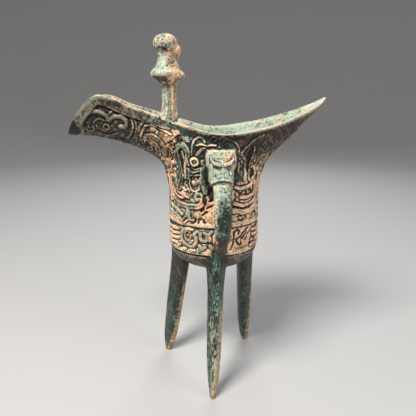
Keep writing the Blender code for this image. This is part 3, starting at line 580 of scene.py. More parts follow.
def readVector(tree, name):
    return put(tree, "GeometryNodeInputNamedAttribute", {"Name": name}, data_type="FLOAT_VECTOR").outputs[0]


def keepNumber(tree, geometry, name, value):
    sockets = {"Geometry": geometry, "Name": name, "Value": value}
    return put(tree, "GeometryNodeStoreNamedAttribute", sockets, data_type="FLOAT",
               domain="POINT").outputs[0]


def spiralsOn(tree, points, rotation, size, turns):
    # Small flat spirals set on points, as plain edges
    spiral = put(tree, "GeometryNodeCurveSpiral", {"Resolution": 12, "Rotations": turns, "Start Radius": 0.1,
                                                   "End Radius": 1.0, "Height": 0.0}).outputs[0]
    sockets = {"Points": points, "Instance": spiral, "Rotation": rotation, "Scale": size}
    many = put(tree, "GeometryNodeInstanceOnPoints", sockets).outputs[0]
    real = put(tree, "GeometryNodeRealizeInstances", {"Geometry": many}).outputs[0]
    return put(tree, "GeometryNodeCurveToMesh", {"Curve": real}).outputs[0]


def groundSpirals(tree, given):
    # Spirals spread evenly over the ground of the carved zones, each turned its own way
    wall = meshOf(tree, given["Plain Wall"])
    spacing = given["Ground Spacing"]
    spread = put(tree, "GeometryNodeDistributePointsOnFaces",
                 {"Mesh": wall, "Distance Min": spacing, "Seed": given["Seed"],
                  "Density Max": calc(tree, "DIVIDE", 1.6, times(tree, spacing, spacing)),
                  "Density Factor": readNumber(tree, "ground")}, distribute_method="POISSON")
    angle = put(tree, "FunctionNodeRandomValue", {2: 0.0, 3: 6.283, "Seed": given["Seed"]},
                data_type="FLOAT").outputs[1]
    spin = put(tree, "FunctionNodeAxisAngleToRotation", {"Axis": (0.0, 0.0, 1.0), "Angle": angle}).outputs[0]
    turned = put(tree, "FunctionNodeRotateRotation", {0: spread.outputs["Rotation"], 1: spin},
                 rotation_space="LOCAL").outputs[0]
    size = put(tree, "FunctionNodeRandomValue", {2: times(tree, given["Ground Size"], 0.8),
                                                 3: times(tree, given["Ground Size"], 1.15), "Seed": 3},
               data_type="FLOAT").outputs[1]
    return spiralsOn(tree, spread.outputs["Points"], turned, size, given["Ground Turns"])


def raiseCarving(wall, inputs):
    # Lifts the wall along the carved lines, the border, the bosses and the spirals, and sinks a narrow
    # moat round them
    tree, given = openTree("raiseCarving", inputs)
    roundTop = [(0, 1), (0.45, 0.97), (0.72, 0.76), (0.90, 0.26), (1, 0)]
    flatTop = [(0, 0.86), (0.35, 0.88), (0.62, 1), (0.78, 0.93), (0.92, 0.3), (1, 0)]

    def ridge(distance, halfWidth, height, shape=roundTop):
        share = calc(tree, "DIVIDE", distance, halfWidth, clamp=True)
        return times(tree, curveThrough(tree, share, shape), height)

    # Hand-made lines: they waver, and some are worn lower than others
    position = tree.nodes.new("GeometryNodeInputPosition").outputs[0]
    waver = put(tree, "ShaderNodeTexNoise", {"Vector": position, "Scale": given["Waver Frequency"],
                                             "Detail": 2.0}).outputs["Color"]
    waver = scaled(tree, vectorCalc(tree, "SUBTRACT", waver, (0.5, 0.5, 0.5)), given["Waver"])
    place = vectorCalc(tree, "ADD", position, waver)
    lowered = put(tree, "ShaderNodeTexNoise", {"Vector": position, "Scale": given["Worn Frequency"],
                                               "Detail": 1.0}).outputs[0]
    lowered = remap(tree, lowered, 0.38, 0.60, given["Worn Share"], 1.0)

    height = given["Height"]
    total, gap = None, None
    for label, share, shape in (("Cloud", 1.25, roundTop), ("Bold", 1.0, flatTop), ("Middle", 0.9, flatTop),
                                ("Fine", 0.66, roundTop)):
        away = distanceTo(tree, meshOf(tree, given[label + " Lines"]), "EDGES", place)
        halfWidth = times(tree, given[label + " Width"], 0.58)
        lifted = ridge(away, halfWidth, times(tree, height, share), shape)
        beside = minus(tree, away, halfWidth)
        total = lifted if total is None else calc(tree, "MAXIMUM", total, lifted)
        gap = beside if gap is None else calc(tree, "MINIMUM", gap, beside)

    # Bosses: a pupil, a ring and a rim, by the distance as a share of the radius
    bosses = meshOf(tree, given["Bosses"])
    nearest = put(tree, "GeometryNodeSampleNearest", {"Geometry": bosses}, domain="POINT").outputs[0]
    sockets = {"Geometry": bosses, "Value": readNumber(tree, "radius"), "Index": nearest}
    radius = put(tree, "GeometryNodeSampleIndex", sockets, data_type="FLOAT", domain="POINT").outputs[0]
    away = distanceTo(tree, bosses, "POINTS", place)
    share = calc(tree, "DIVIDE", away, radius)
    eye = curveThrough(tree, calc(tree, "MINIMUM", share, 1.0), [
        (0, 0.8), (0.14, 0.75), (0.26, 0.12), (0.36, 0.12), (0.48, 0.95), (0.66, 1), (0.86, 0.85), (1, 0)])
    beyond = remap(tree, share, 1.0, 1.2)
    total = times(tree, total, beyond)
    total = plus(tree, total, times(tree, eye, times(tree, height, 1.1)))
    pupil = times(tree, minus(tree, 0.46, share), times(tree, radius, 0.5))
    beside = calc(tree, "MAXIMUM", minus(tree, away, radius), pupil)
    onBoss = remap(tree, share, 1.2, 1.35, 1.0, 0.0)
    gap = plus(tree, times(tree, gap, minus(tree, 1.0, onBoss)), times(tree, beside, onBoss))

    # The spirals that stand alone, and those of the ground, which keep clear of the raised lines
    spots = meshOf(tree, given["Spiral Spots"])
    facing = put(tree, "FunctionNodeAlignRotationToVector", {"Vector": readVector(tree, "facing")},
                 axis="Z").outputs[0]
    single = spiralsOn(tree, spots, facing, readNumber(tree, "radius"), given["Spiral Turns"])
    halfFine = times(tree, given["Fine Width"], 0.46)
    lifted = ridge(distanceTo(tree, single, "EDGES", place), halfFine, times(tree, height, 0.6))
    clear = remap(tree, gap, 0.0, 0.5 * mm)
    ground = ridge(distanceTo(tree, groundSpirals(tree, given), "EDGES", place), halfFine,
                   given["Ground Height"])
    ground = times(tree, times(tree, ground, clear), readNumber(tree, "ground"))
    total = times(tree, calc(tree, "MAXIMUM", calc(tree, "MAXIMUM", total, lifted), ground), lowered)

    # The border along the spout's rim with a groove below it, and the ridges and grooves of the bands
    toRim = distanceTo(tree, meshOf(tree, given["Rim Line"]), "EDGES")
    width = given["Border Width"]
    border = remap(tree, toRim, times(tree, width, 0.93), times(tree, width, 1.06), 1.0, 0.0)
    onSpout = readNumber(tree, "onSpout")
    border = times(tree, times(tree, border, given["Border Height"]), onSpout)
    total = calc(tree, "MAXIMUM", total, border)
    ridges = distanceTo(tree, meshOf(tree, given["Band Ridges"]), "EDGES")
    total = calc(tree, "MAXIMUM", total, ridge(ridges, times(tree, given["Bold Width"], 0.62),
                                               given["Band Height"]))

    # What is cut: the groove below the border, those of the bands, the moats, and slits in the smooth parts
    offset = calc(tree, "ABSOLUTE", minus(tree, toRim, times(tree, width, 1.17)))
    halfGroove = times(tree, given["Groove Width"], 0.6)
    total = minus(tree, total, ridge(offset, halfGroove, times(tree, given["Groove Depth"], onSpout)))
    grooves = distanceTo(tree, meshOf(tree, given["Band Grooves"]), "EDGES")
    total = minus(tree, total, ridge(grooves, halfGroove, given["Groove Depth"]))
    slits = distanceTo(tree, meshOf(tree, given["Cut Lines"]), "EDGES", place)
    total = minus(tree, total, ridge(slits, times(tree, given["Cut Width"], 0.6), given["Cut Depth"]))
    inMoat = minus(tree, gap, times(tree, given["Moat Width"], 0.4))
    moat = ridge(calc(tree, "ABSOLUTE", inMoat), times(tree, given["Moat Width"], 0.6), given["Moat Depth"])
    offBorder = remap(tree, border, 0.0, times(tree, given["Border Height"], 0.5), 1.0, 0.0)
    total = minus(tree, total, times(tree, moat, offBorder))
    rough = put(tree, "ShaderNodeTexNoise", {"Vector": position, "Scale": given["Rough Frequency"],
                                             "Detail": 2.0}).outputs[0]
    total = plus(tree, total, times(tree, minus(tree, rough, 0.5), given["Roughness"]))

    total = times(tree, total, readNumber(tree, "outside"))
    gap = plus(tree, gap, times(tree, border, 3.0))
    onSpoutGap = plus(tree, offset, times(tree, minus(tree, 1.0, onSpout), 5 * mm))
    gap = calc(tree, "MINIMUM", calc(tree, "MINIMUM", plus(tree, onSpoutGap, 0.1 * mm), gap),
               plus(tree, grooves, 0.1 * mm))
    kept = keepNumber(tree, given["Geometry"], "raised", calc(tree, "DIVIDE", total, height))
    kept = keepNumber(tree, kept, "gap", calc(tree, "DIVIDE", gap, 1.0 * mm))
    kept = keepNumber(tree, kept, "slit", remap(tree, slits, times(tree, given["Cut Width"], 0.25),
                                                times(tree, given["Cut Width"], 0.6), 1.0, 0.0))
    kept = keepNumber(tree, kept, "border", calc(tree, "DIVIDE", border, given["Border Height"]))
    normal = tree.nodes.new("GeometryNodeInputNormal").outputs[0]
    moved = put(tree, "GeometryNodeSetPosition", {"Geometry": kept, "Offset": scaled(tree, normal, total)})
    closeTree(tree, moved.outputs[0])
    return runTree(wall, tree, inputs)


def ringAt(tree, z):
    points = []
    for n in range(360):
        a = math.radians(n)
        outward = Vector((math.cos(a), math.sin(a), 0))
        start = Vector((farOff * math.cos(a), farOff * math.sin(a), z))
        points.append(tree.ray_cast(start, -outward)[0])
    return points


def ringObject(name, tree, heights):
    points, edges = [], []
    for z in heights:
        start = len(points)
        ring = ringAt(tree, z)
        points += ring
        edges += [(start + n, start + (n + 1) % len(ring)) for n in range(len(ring))]
    return makeObject(name, points, edges=edges)


def rimHeight(x):
    # The rim's height above the feet at each place along the cup, both in mm
    return np.interp(x, (-82, -66, -45, -24, 0, 24, 46, 66),
                     (154, 174, 169, 161.5, 155.2, 157.5, 163.4, 173))


def carvedGround(points):
    # Where the ground between the raised lines is filled with spirals: 1 in the carved zones
    x, z = points[:, 0] / mm, points[:, 2] / mm
    below = smoothStep(4.5, 6.5, rimHeight(x) - z)
    above = smoothStep(cup["bandTop"] / mm + 2.4, cup["bandTop"] / mm + 3.6, z)
    band = smoothStep(89.8, 91, z) * (1 - smoothStep(102, 103, z))
    behindHandle = (np.abs(x - 0.8) < 6) & (points[:, 1] < 0)
    angle = np.degrees(np.arctan2(points[:, 0], np.abs(points[:, 1])))
    ribbed = smoothStep(14, 18, angle) * smoothStep(64, 58, angle) * smoothStep(131, 128, z)
    carved = np.maximum(below * above, band) * (1 - behindHandle)
    return carved * (1 - smoothStep(44, 54, x)) * (1 - 0.85 * ribbed)


def makeWall():
    # The carved outer skin, the plain inner skin and the lip between them
    columnStep = 1.2 * cup["netStep"]
    base, points, normals, faces, columns = smoothWall(columnStep, 0.9 * cup["netStep"])
    tree = BVHTree.FromPolygons([Vector(p) for p in points], faces)
    _, innerPoints, innerNormals, innerFaces, _ = smoothWall(columnStep, 6 * cup["netStep"])
    inner = innerPoints - innerNormals * wallThickness(innerPoints)
    lip = (points[:columns] + inner[:columns]) / 2
    rise = np.cross(np.roll(lip, -1, axis=0) - np.roll(lip, 1, axis=0), normals[:columns])
    rise /= np.linalg.norm(rise, axis=1)[:, None]
    lip = lip + rise * cup["lipRound"] * np.sign(rise[columns // 4, 2])
    count, innerCount = len(points), len(inner)
    skins = faces + [tuple(v + count for v in reversed(face)) for face in innerFaces]
    lipStart = count + innerCount
    for i in range(columns):
        k = (i + 1) % columns
        skins.append((i, k, lipStart + k, lipStart + i))
        skins.append((lipStart + i, lipStart + k, count + k, count + i))
    everyPoint = np.concatenate([points, inner, lip])
    wall = makeObject("carvedWall", everyPoint, skins)
    outside = np.zeros(len(everyPoint))
    outside[:count] = smoothStep(cup["bandLow"] - 2.2 * mm, cup["bandLow"] - 1.6 * mm, points[:, 2])
    giveAttribute(wall.data, "outside", outside)
    giveAttribute(wall.data, "inside", np.concatenate([np.zeros(count), np.ones(innerCount),
                                                       np.full(columns, 0.5)]))
    end, width = -cup["borderEnd"], carving["borderWidth"]
    past = smoothStep(end - width, end + width, everyPoint[:, 0])
    giveAttribute(wall.data, "onSpout", 1 - past)
    wallGround = carvedGround(everyPoint)
    giveAttribute(wall.data, "ground", wallGround)
    giveAttribute(base.data, "ground", wallGround[:count])
    lines = carvedLineObjects(tree)
    rimEdges = [(i, (i + 1) % columns) for i in range(columns)]
    inputs = {
        **asInputs(carving), **{width.capitalize() + " Lines": drawn for width, drawn in lines.items()},
        "Spiral Spots": spotObject("spiralSpots", tree, (("body", bodySpirals), ("body", bandSpirals),
                                                         ("spout", spoutSpirals))),
        "Bosses": spotObject("bosses", tree, (("body", bodyBosses), ("spout", spoutBosses))),
        "Rim Line": makeObject("rimLine", points[:columns], edges=rimEdges),
        "Band Ridges": ringObject("bandRidges", tree, (cup["bandLow"] + 0.9 * mm,
                                                       cup["bandTop"] + 1.5 * mm)),
        "Band Grooves": ringObject("bandGrooves", tree, (cup["bandLow"] - 0.9 * mm,
                                                         cup["bandTop"] - 0.4 * mm)),
        "Plain Wall": base,
    }
    raiseCarving(wall, inputs)
    # Fewer faces everywhere but at the lip
    carved = wall.vertex_groups.new(name="carved")
    carved.add(list(range(columns, count)) + list(range(count + 2 * columns, lipStart)), 1.0, "REPLACE")
    thin = wall.modifiers.new("fewerFaces", "DECIMATE")
    thin.ratio = cup["wallTriangles"] / (2 * len(skins))
    thin.vertex_group, thin.vertex_group_factor = "carved", 1.0
    bake(wall)
    middle = points - 0.5 * normals * wallThickness(points)
    return wall, middle, faces, columns


def makeCore(middle, faces, columns):
    # A solid that fills the cup to the middle of its wall; it trims what is joined outside
    lid = [(0, 1, columns - 1)]
    for i in range(1, columns // 2):
        lid.append(tuple(dict.fromkeys((i, i + 1, columns - i - 1, columns - i))))
    core = makeObject("core", middle, faces + lid)
    thin = core.modifiers.new("fewerFaces", "DECIMATE")
    thin.ratio = cup["coreShare"]
    return bake(core)


def loft(name, rings):
    # A closed solid through rings of points
    rings = np.asarray(rings, float)
    count, sides = rings.shape[:2]
    points = list(rings.reshape(-1, 3)) + [rings[0].mean(axis=0), rings[-1].mean(axis=0)]
    faces = []
    for j in range(count - 1):
        for i in range(sides):
            k = (i + 1) % sides
            faces.append((j * sides + i, j * sides + k, (j + 1) * sides + k, (j + 1) * sides + i))
    low, high = count * sides, count * sides + 1
    for i in range(sides):
        k = (i + 1) % sides
        faces.append((low, k, i))
        faces.append((high, (count - 1) * sides + i, (count - 1) * sides + k))
    made = makeObject(name, points, faces)
    mesh = made.data
    mesh.calc_loop_triangles()
    co = vertexArray(mesh)
    tri = np.array([t.vertices[:] for t in mesh.loop_triangles])
    volume = np.einsum("ij,ij->i", co[tri[:, 0]], np.cross(co[tri[:, 1]], co[tri[:, 2]])).sum()
    if volume < 0:
        mesh.flip_normals()
    return made


def roundedOutline(outline, count):
    # The closed outline as a smooth ring of count points
    outline = np.asarray(outline, float)
    ring = np.concatenate([outline[-2:], outline, outline[:3]])
    knots = np.append(0, np.cumsum(np.linalg.norm(np.diff(ring, axis=0), axis=1)))
    return smoothThrough(ring, knots, np.linspace(knots[2], knots[len(outline) + 2], count + 1)[:-1])


# Legs: azimuths of the root and the foot in degrees, how far the foot stands out beyond the wall,
# and the depth at the root
legs = {
    "places": {"frontLeg": (-91.4, -95.9, 9.6 * mm, 9.6 * mm),
               "spoutLeg": (154.0, 154.0, 7.6 * mm, 12.4 * mm),
               "tailLeg": (18.0, 42.0, 8.2 * mm, 10.8 * mm)},
    "width": 9.6 * mm, "stand": 1.4 * mm, "footWidth": 3.6 * mm, "footDepth": 4.0 * mm, "top": 82.3 * mm,
    "outline": [(0.00, 0.50), (0.13, 0.45), (0.36, 0.12), (0.50, -0.24), (0.46, -0.42), (0.28, -0.50),
                (-0.28, -0.50), (-0.46, -0.42), (-0.50, -0.24), (-0.36, 0.12), (-0.13, 0.45)],
    # Down the leg: share of the way, shares of its width and depth, share of how far the foot stands out
    "stations": [(-0.10, 1.70, 1.28, -0.06), (0.0, 1.48, 1.16, 0.03), (0.07, 1.28, 1.04, 0.09),
                 (0.15, 1.08, 0.97, 0.155), (0.32, 0.95, 0.89, 0.325), (0.58, 0.87, 0.81, 0.585),
                 (0.74, 0.74, 0.70, 0.745), (0.86, 0.50, 0.56, 0.865), (0.94, 0.25, 0.33, 0.935),
                 (1.0, 0.0, 0.0, 1.0)],
    "sides": 28, "rings": 72,
}


def around(azimuth, radius):
    a = math.radians(azimuth)
    return np.array([radius * math.cos(a), radius * math.sin(a), 0])


def legEnds(name):
    rootAzimuth, footAzimuth, splay, depth = legs["places"][name]
    root = around(rootAzimuth, cup["shoulder"] + legs["stand"] - 0.5 * depth)
    return root, around(footAzimuth, cup["shoulder"] + splay), around(rootAzimuth,
                                                                      1), around(rootAzimuth + 90, 1)


def makeLeg(name):
    root, foot, out, side = legEnds(name)
    outline = roundedOutline(legs["outline"], legs["sides"])
    stations = np.array(legs["stations"])
    ways = np.linspace(stations[0, 0], 1, legs["rings"])
    rings = []
    for way, width, depth, outward in smoothThrough(stations, stations[:, 0], ways):
        middle = root + (foot - root) * outward + np.array([0, 0, legs["top"] * (1 - way)])
        wide = legs["footWidth"] + (legs["width"] - legs["footWidth"]) * width
        deep = legs["footDepth"] + (legs["places"][name][3] - legs["footDepth"]) * depth
        rings.append([middle + side * (x * wide) + out * (y * deep) for x, y in outline])
    return loft(name, rings)


handle = {
    "shift": 0.8 * mm, "fingerGap": 12 * mm, "strapWidth": 9.2 * mm, "strapThickness": 5 * mm,
    "maskWidth": 15.4 * mm, "maskHeight": 16.7 * mm, "maskDepth": 11.6 * mm, "maskDrop": 7.6 * mm,
    "outline": [(-0.50, -0.30), (-0.46, 0.10), (-0.26, 0.42), (0.0, 0.50), (0.26, 0.42), (0.46, 0.10),
                (0.50, -0.30),
                (0.40, -0.50), (-0.40, -0.50)],
}


def makeStrap():
    shoulder = cup["shoulder"]
    reach = cup["waistRadius"] + handle["fingerGap"] + 0.5 * handle["strapThickness"]
    top = cup["rim"] - handle["maskDrop"] - handle["maskHeight"]
    low = cup["bandLow"] + 0.18 * (cup["bandTop"] - cup["bandLow"])
    drop, bend = top - low, reach - shoulder
    route = np.array([
        (shoulder + 0.18 * bend, top + 0.09 * drop, 0.90), (shoulder + 0.55 * bend, top + 0.005 * drop, 1.0),
        (shoulder + 0.86 * bend, top - 0.14 * drop, 1.0), (reach, top - 0.36 * drop, 1.0),
        (shoulder + 0.96 * bend, top - 0.58 * drop, 0.92), (shoulder + 0.70 * bend, top - 0.80 * drop, 0.80),
        (shoulder + 0.34 * bend, top - 0.94 * drop, 0.68), (shoulder - 0.4 * cup["wall"], low, 0.66)])
    knots = np.append(0, np.cumsum(np.linalg.norm(np.diff(route[:, :2], axis=0), axis=1)))
    path = smoothThrough(route, knots, np.linspace(0, knots[-1], 64))
    outline = roundedOutline(handle["outline"], 30)
    rings = []
    for n, (out, z, width) in enumerate(path):
        before, after = path[max(n - 1, 0)], path[min(n + 1, len(path) - 1)]
        run = np.array([before[0] - after[0], after[1] - before[1]])
        run /= np.linalg.norm(run)
        face = np.array([0, run[1], -run[0]])
        face = -face if face[1] > 0 else face
        middle = np.array([handle["shift"], -out, z])
        rings.append([middle + np.array([x * handle["strapWidth"] * width, 0,
                                         0]) + face * (y * handle["strapThickness"])
                      for x, y in outline])
    return loft("strap", rings)


def bump(x, z, middleX, middleZ, halfX, halfZ):
    away = np.hypot((x - middleX) / halfX, (z - middleZ) / halfZ)
    return 1 - smoothStep(0.35, 1.0, away)


def stroke(x, t, places, width):
    # A soft ridge along a line drawn on the face
    points = alongLine(places, 0.02)
    away = np.min(np.hypot(x[..., None] - points[:, 0], t[..., None] - points[:, 1]), axis=-1)
    return 1 - smoothStep(0.3 * width, width, away)


def maskFront(x, t):
    # How far the face stands out, at shares of its half width and height: an ox-like muzzle
    muzzle = np.interp(t, (0.0, 0.12, 0.35, 0.62, 0.80, 1.0), (1.0, 0.98, 0.88, 0.78, 0.72, 0.60))
    side = np.abs(x)
    brow = 0.14 * stroke(side, t, [(0.16, 0.60), (0.34, 0.615), (0.56, 0.66), (0.74, 0.75)], 0.085)
    socket = -0.06 * bump(side, t, 0.44, 0.50, 0.26, 0.10)
    ball = 0.15 * bump(side, t, 0.64, 0.35, 0.13, 0.09)
    lip = 0.085 * stroke(side, t, [(0.0, 0.155), (0.35, 0.135), (0.7, 0.07), (0.95, 0.03)], 0.07)
    mouth = -0.05 * stroke(side, t, [(0.0, 0.065), (0.35, 0.05), (0.7, 0.0)], 0.05)
    nose = 0.05 * stroke(side, t, [(0.0, 0.24), (0.0, 0.56)], 0.16)
    ear = 0.13 * bump(side, t, 0.95, 0.66, 0.15, 0.20)
    brow += 0.05 * stroke(side, t, [(0.62, 0.93), (0.86, 0.90), (0.9, 0.80)], 0.08)
    return muzzle + brow + socket + ball + lip + mouth + nose + ear


def makeMask():
    top = cup["rim"] - handle["maskDrop"]
    back = cup["waistRadius"] - cup["wall"]
    rows, across = 64, 70
    shares = np.linspace(0, 1, rows)
    turn = np.linspace(0, math.pi, across)
    x, t = np.meshgrid(-np.cos(turn), shares)
    half = 0.5 * handle["maskWidth"] * np.interp(t, (0.0, 0.40, 0.52, 0.82, 1.0),
                                                 (0.84, 0.88, 1.03, 1.03, 0.98))
    fullness = np.clip(np.sin(turn), 0, None) ** 0.36 * np.ones_like(t)
    arch = 0.05 * (1 - x * x) * smoothStep(0.25, 0.0, t)       # the lower lip arches up in the middle
    out = back + (handle["maskDepth"] + cup["wall"]) * fullness * maskFront(x, t)
    z = top - handle["maskHeight"] * (1 - t - arch)
    return loft("mask", np.stack([handle["shift"] + half * x, -out, z], axis=-1))


posts = {
    # Side of the cup, place towards the spout, diameter of the knob, height of the stem
    "places": {"nearPost": (-1, 26.7 * mm, 12.0 * mm, 21.5 * mm),
               "farPost": (1, 23.6 * mm, 11.6 * mm, 23.5 * mm)},
    "stemWidth": 5 * mm, "skirt": 15.6 * mm, "capHeight": 20.2 * mm, "neck": 7.6 * mm,
    "spiralFacing": 52, "spiralHeight": 6.6 * mm, "spiralRadius": 2.6 * mm, "spiralTurns": 2.3,
    # Up a stem: share of its height, shares of its width across the rim and along it
    "stations": [(-0.12, 0.35, 0.35), (-0.037, 0.9, 1.0), (0.019, 1.15, 1.75), (0.074, 1.05, 1.5),
                 (0.15, 0.97, 1.2),
                 (0.28, 0.93, 0.97), (0.56, 0.92, 0.92), (0.79, 0.98, 0.98), (1.19, 1.0, 1.0)],
    # Down a cap: what the radius is a share of, the share, the share of the cap's height
    "profile": [("knob", 0, 0.99), ("knob", 0.30, 0.982), ("knob", 0.62, 0.95), ("knob", 0.88, 0.885),
                ("knob", 1, 0.79),
                ("knob", 0.93, 0.68), ("neck", 1.12, 0.585), ("neck", 1.0, 0.50), ("neck", 1.02, 0.42),
                ("neck", 1.18, 0.33), ("skirt", 0.70, 0.22), ("skirt", 0.90, 0.145), ("skirt", 0.985, 0.10),
                ("skirt", 1, 0.04), ("skirt", 0.94, -0.01), ("skirt", 0.72, -0.055), ("skirt", 0.5, -0.12),
                ("stem", 0.9, -0.22), ("stem", 0.4, -0.24), ("stem", 0, -0.24)],
}


def postFoot(name, rimPoints):
    side, place, _, _ = posts["places"][name]
    nearSide = rimPoints[rimPoints[:, 1] < 0]
    nearest = nearSide[np.argmin(np.abs(nearSide[:, 0] + place))]
    return np.array([-place, -side * nearest[1], nearest[2]])


def makePost(name, rimPoints):
    _, _, knob, stemHeight = posts["places"][name]
    foot = postFoot(name, rimPoints)
    width = posts["stemWidth"]
    corner = [math.radians(7.5 + 15 * k) for k in range(24)]
    square = [(0.24 * math.cos(a) + 0.30 * math.cos(a) ** 3, 0.24 * math.sin(a) + 0.30 * math.sin(a) ** 3)
              for a in corner]
    stations = np.array(posts["stations"])
    rings = []
    for share, deep, wide in smoothThrough(stations, stations[:, 0],
                                           np.linspace(stations[0, 0], stations[-1, 0], 46)):
        middle = foot + np.array([-0.5 * width * (wide - deep), 0, share * stemHeight])
        rings.append([middle + width * np.array([x * wide, y * deep, 0]) for x, y in square])
    stem = loft(name + "Stem", rings)
    widths = {"knob": knob, "neck": posts["neck"], "skirt": posts["skirt"], "stem": width}
    profile = np.array([(0.5 * widths[part] * share, up * posts["capHeight"]) for part, share,
                        up in posts["profile"]])
    profile = alongLine(profile, 0.5 * mm)[1:-1]
    base = foot + np.array([0, 0, stemHeight])
    turns = np.linspace(0, 2 * math.pi, 53)[:-1]
    rings = [[base + np.array([r * math.cos(a), r * math.sin(a), z]) for a in turns] for r, z in profile]
    cap = loft(name + "Cap", rings)
    return stem, cap


def markSpirals(mesh, points, rimPoints):
    # Places across the spiral that is cut in the slope of each cap: along it and up it, in radii
    along, up = np.full(len(points), 9.0), np.full(len(points), 9.0)
    for name, (side, _, _, stemHeight) in posts["places"].items():
        centre = postFoot(name, rimPoints) + np.array([0, 0, stemHeight + posts["spiralHeight"]])
        out, across = around(side * posts["spiralFacing"], 1), around(side * posts["spiralFacing"] - 90, 1)
        offset = points - centre
        here = (offset @ out > 0) & (np.linalg.norm(offset, axis=1) < 9 * mm)
        along = np.where(here, offset @ across / posts["spiralRadius"], along)
        up = np.where(here, offset[:, 2] / posts["spiralRadius"], up)
    giveAttribute(mesh, "spiralAlong", along)
    giveAttribute(mesh, "spiralUp", up)


def together(name, pieces):
    points, faces = [], []
    for piece in pieces:
        start = len(points)
        points += [v.co.copy() for v in piece.data.vertices]
        faces += [tuple(start + v for v in face.vertices) for face in piece.data.polygons]
    return makeObject(name, points, faces)


def joinAll(wall, pieces, core):
    for piece in pieces:
        if piece.name not in ("nearPostStem", "nearPostCap", "farPostStem", "farPostCap"):
            trim = piece.modifiers.new("trim", "BOOLEAN")
            trim.operation, trim.object, trim.solver = "DIFFERENCE", core, "MANIFOLD"
            bake(piece)
    whole = wall.copy()
    whole.data = wall.data.copy()
    whole.name = "bronzeCup"
    bpy.context.scene.collection.objects.link(whole)
    for piece in pieces:
        step = whole.modifiers.new(piece.name, "BOOLEAN")
        step.operation, step.object, step.solver = "UNION", piece, "MANIFOLD"
    return bake(whole)


weather = {"seamRadius": 1.5 * mm, "seamPasses": 16, "lumpHeight": 0.30 * mm, "lumpSize": 7 * mm,
           "grainHeight": 0.14 * mm, "grainSize": 1.5 * mm, "pitDepth": 0.22 * mm, "pitSize": 2.6 * mm}


def weatherBronze(whole, inputs):
    # Softens the joints, roughens the skin as an old casting's, and notes where it is hollow or proud
    tree, given = openTree("weatherBronze", inputs)
    position = tree.nodes.new("GeometryNodeInputPosition").outputs[0]
    normal = tree.nodes.new("GeometryNodeInputNormal").outputs[0]

    def near(thing, reach, full=0.3):
        away = distanceTo(tree, meshOf(tree, thing), "FACES")
        return remap(tree, away, times(tree, reach, full), reach, 1.0, 0.0)

    def blurred(passes, weight=1.0):
        sockets = {"Value": position, "Iterations": passes, "Weight": weight}
        return put(tree, "GeometryNodeBlurAttribute", sockets, data_type="FLOAT_VECTOR").outputs[0]

    reach = given["Seam Radius"]
    parts = {name: near(given[name], reach) for name in ("Legs", "Handle", "Mask", "Posts")}
    joined = calc(tree, "MAXIMUM", calc(tree, "MAXIMUM", parts["Legs"], parts["Posts"]),
                  calc(tree, "MAXIMUM", parts["Handle"], parts["Mask"]))
    seam = times(tree, near(given["Wall Shape"], reach), joined)
    soft = put(tree, "GeometryNodeSetPosition", {"Geometry": given["Geometry"],
                                                 "Position": blurred(given["Seam Passes"], seam)}).outputs[0]

    def noise(size, detail):
        frequency = calc(tree, "DIVIDE", 1.0, size)
        value = put(tree, "ShaderNodeTexNoise", {"Vector": position, "Scale": frequency,
                                                 "Detail": detail}).outputs[0]
        return minus(tree, value, 0.5)

    lumps = times(tree, noise(given["Lump Size"], 1.0), given["Lump Height"])
    grain = times(tree, noise(given["Grain Size"], 2.0), given["Grain Height"])
    pits = remap(tree, noise(given["Pit Size"], 1.0), 0.14, 0.24, 0.0, 1.0)
    pits = times(tree, pits, given["Pit Depth"])
    rough = minus(tree, plus(tree, lumps, grain), pits)
    rough = put(tree, "GeometryNodeSetPosition", {"Geometry": soft,
                                                  "Offset": scaled(tree, normal, rough)}).outputs[0]
    bulge = vectorCalc(tree, "DOT_PRODUCT", normal, vectorCalc(tree, "SUBTRACT", position, blurred(5)))
    wide = vectorCalc(tree, "DOT_PRODUCT", normal, vectorCalc(tree, "SUBTRACT", position, blurred(30)))
    kept = keepNumber(tree, rough, "crest", calc(tree, "DIVIDE", bulge, 0.3 * mm))
    kept = keepNumber(tree, kept, "swell", calc(tree, "DIVIDE", wide, 0.8 * mm))
    for name in parts:
        kept = keepNumber(tree, kept, "on" + name, near(given[name], 0.7 * mm, 0.2))
    closeTree(tree, kept)
    return runTree(whole, tree, inputs)


print("wall and carving")
wall, middle, faces, columns = makeWall()
print("   wall triangles", triangleCount(wall.data))
core = makeCore(middle, faces, columns)

print("legs, handle and posts")
pieces = [makeLeg(name) for name in legs["places"]]
pieces += [makeStrap(), makeMask()]
for name in posts["places"]:
    pieces += makePost(name, middle[:columns])

print("joining")
whole = joinAll(wall, pieces, core)
joined = {
    "Legs": together("legShapes", pieces[:3]), "Handle": together("handleShape", pieces[3:4]),
    "Mask": together("maskShape", pieces[4:5]), "Posts": together("postShapes", pieces[5:]),
}

print("weathering")
weatherBronze(whole, {**joined, "Wall Shape": wall, **asInputs(weather)})
print("   cup triangles", triangleCount(whole.data))

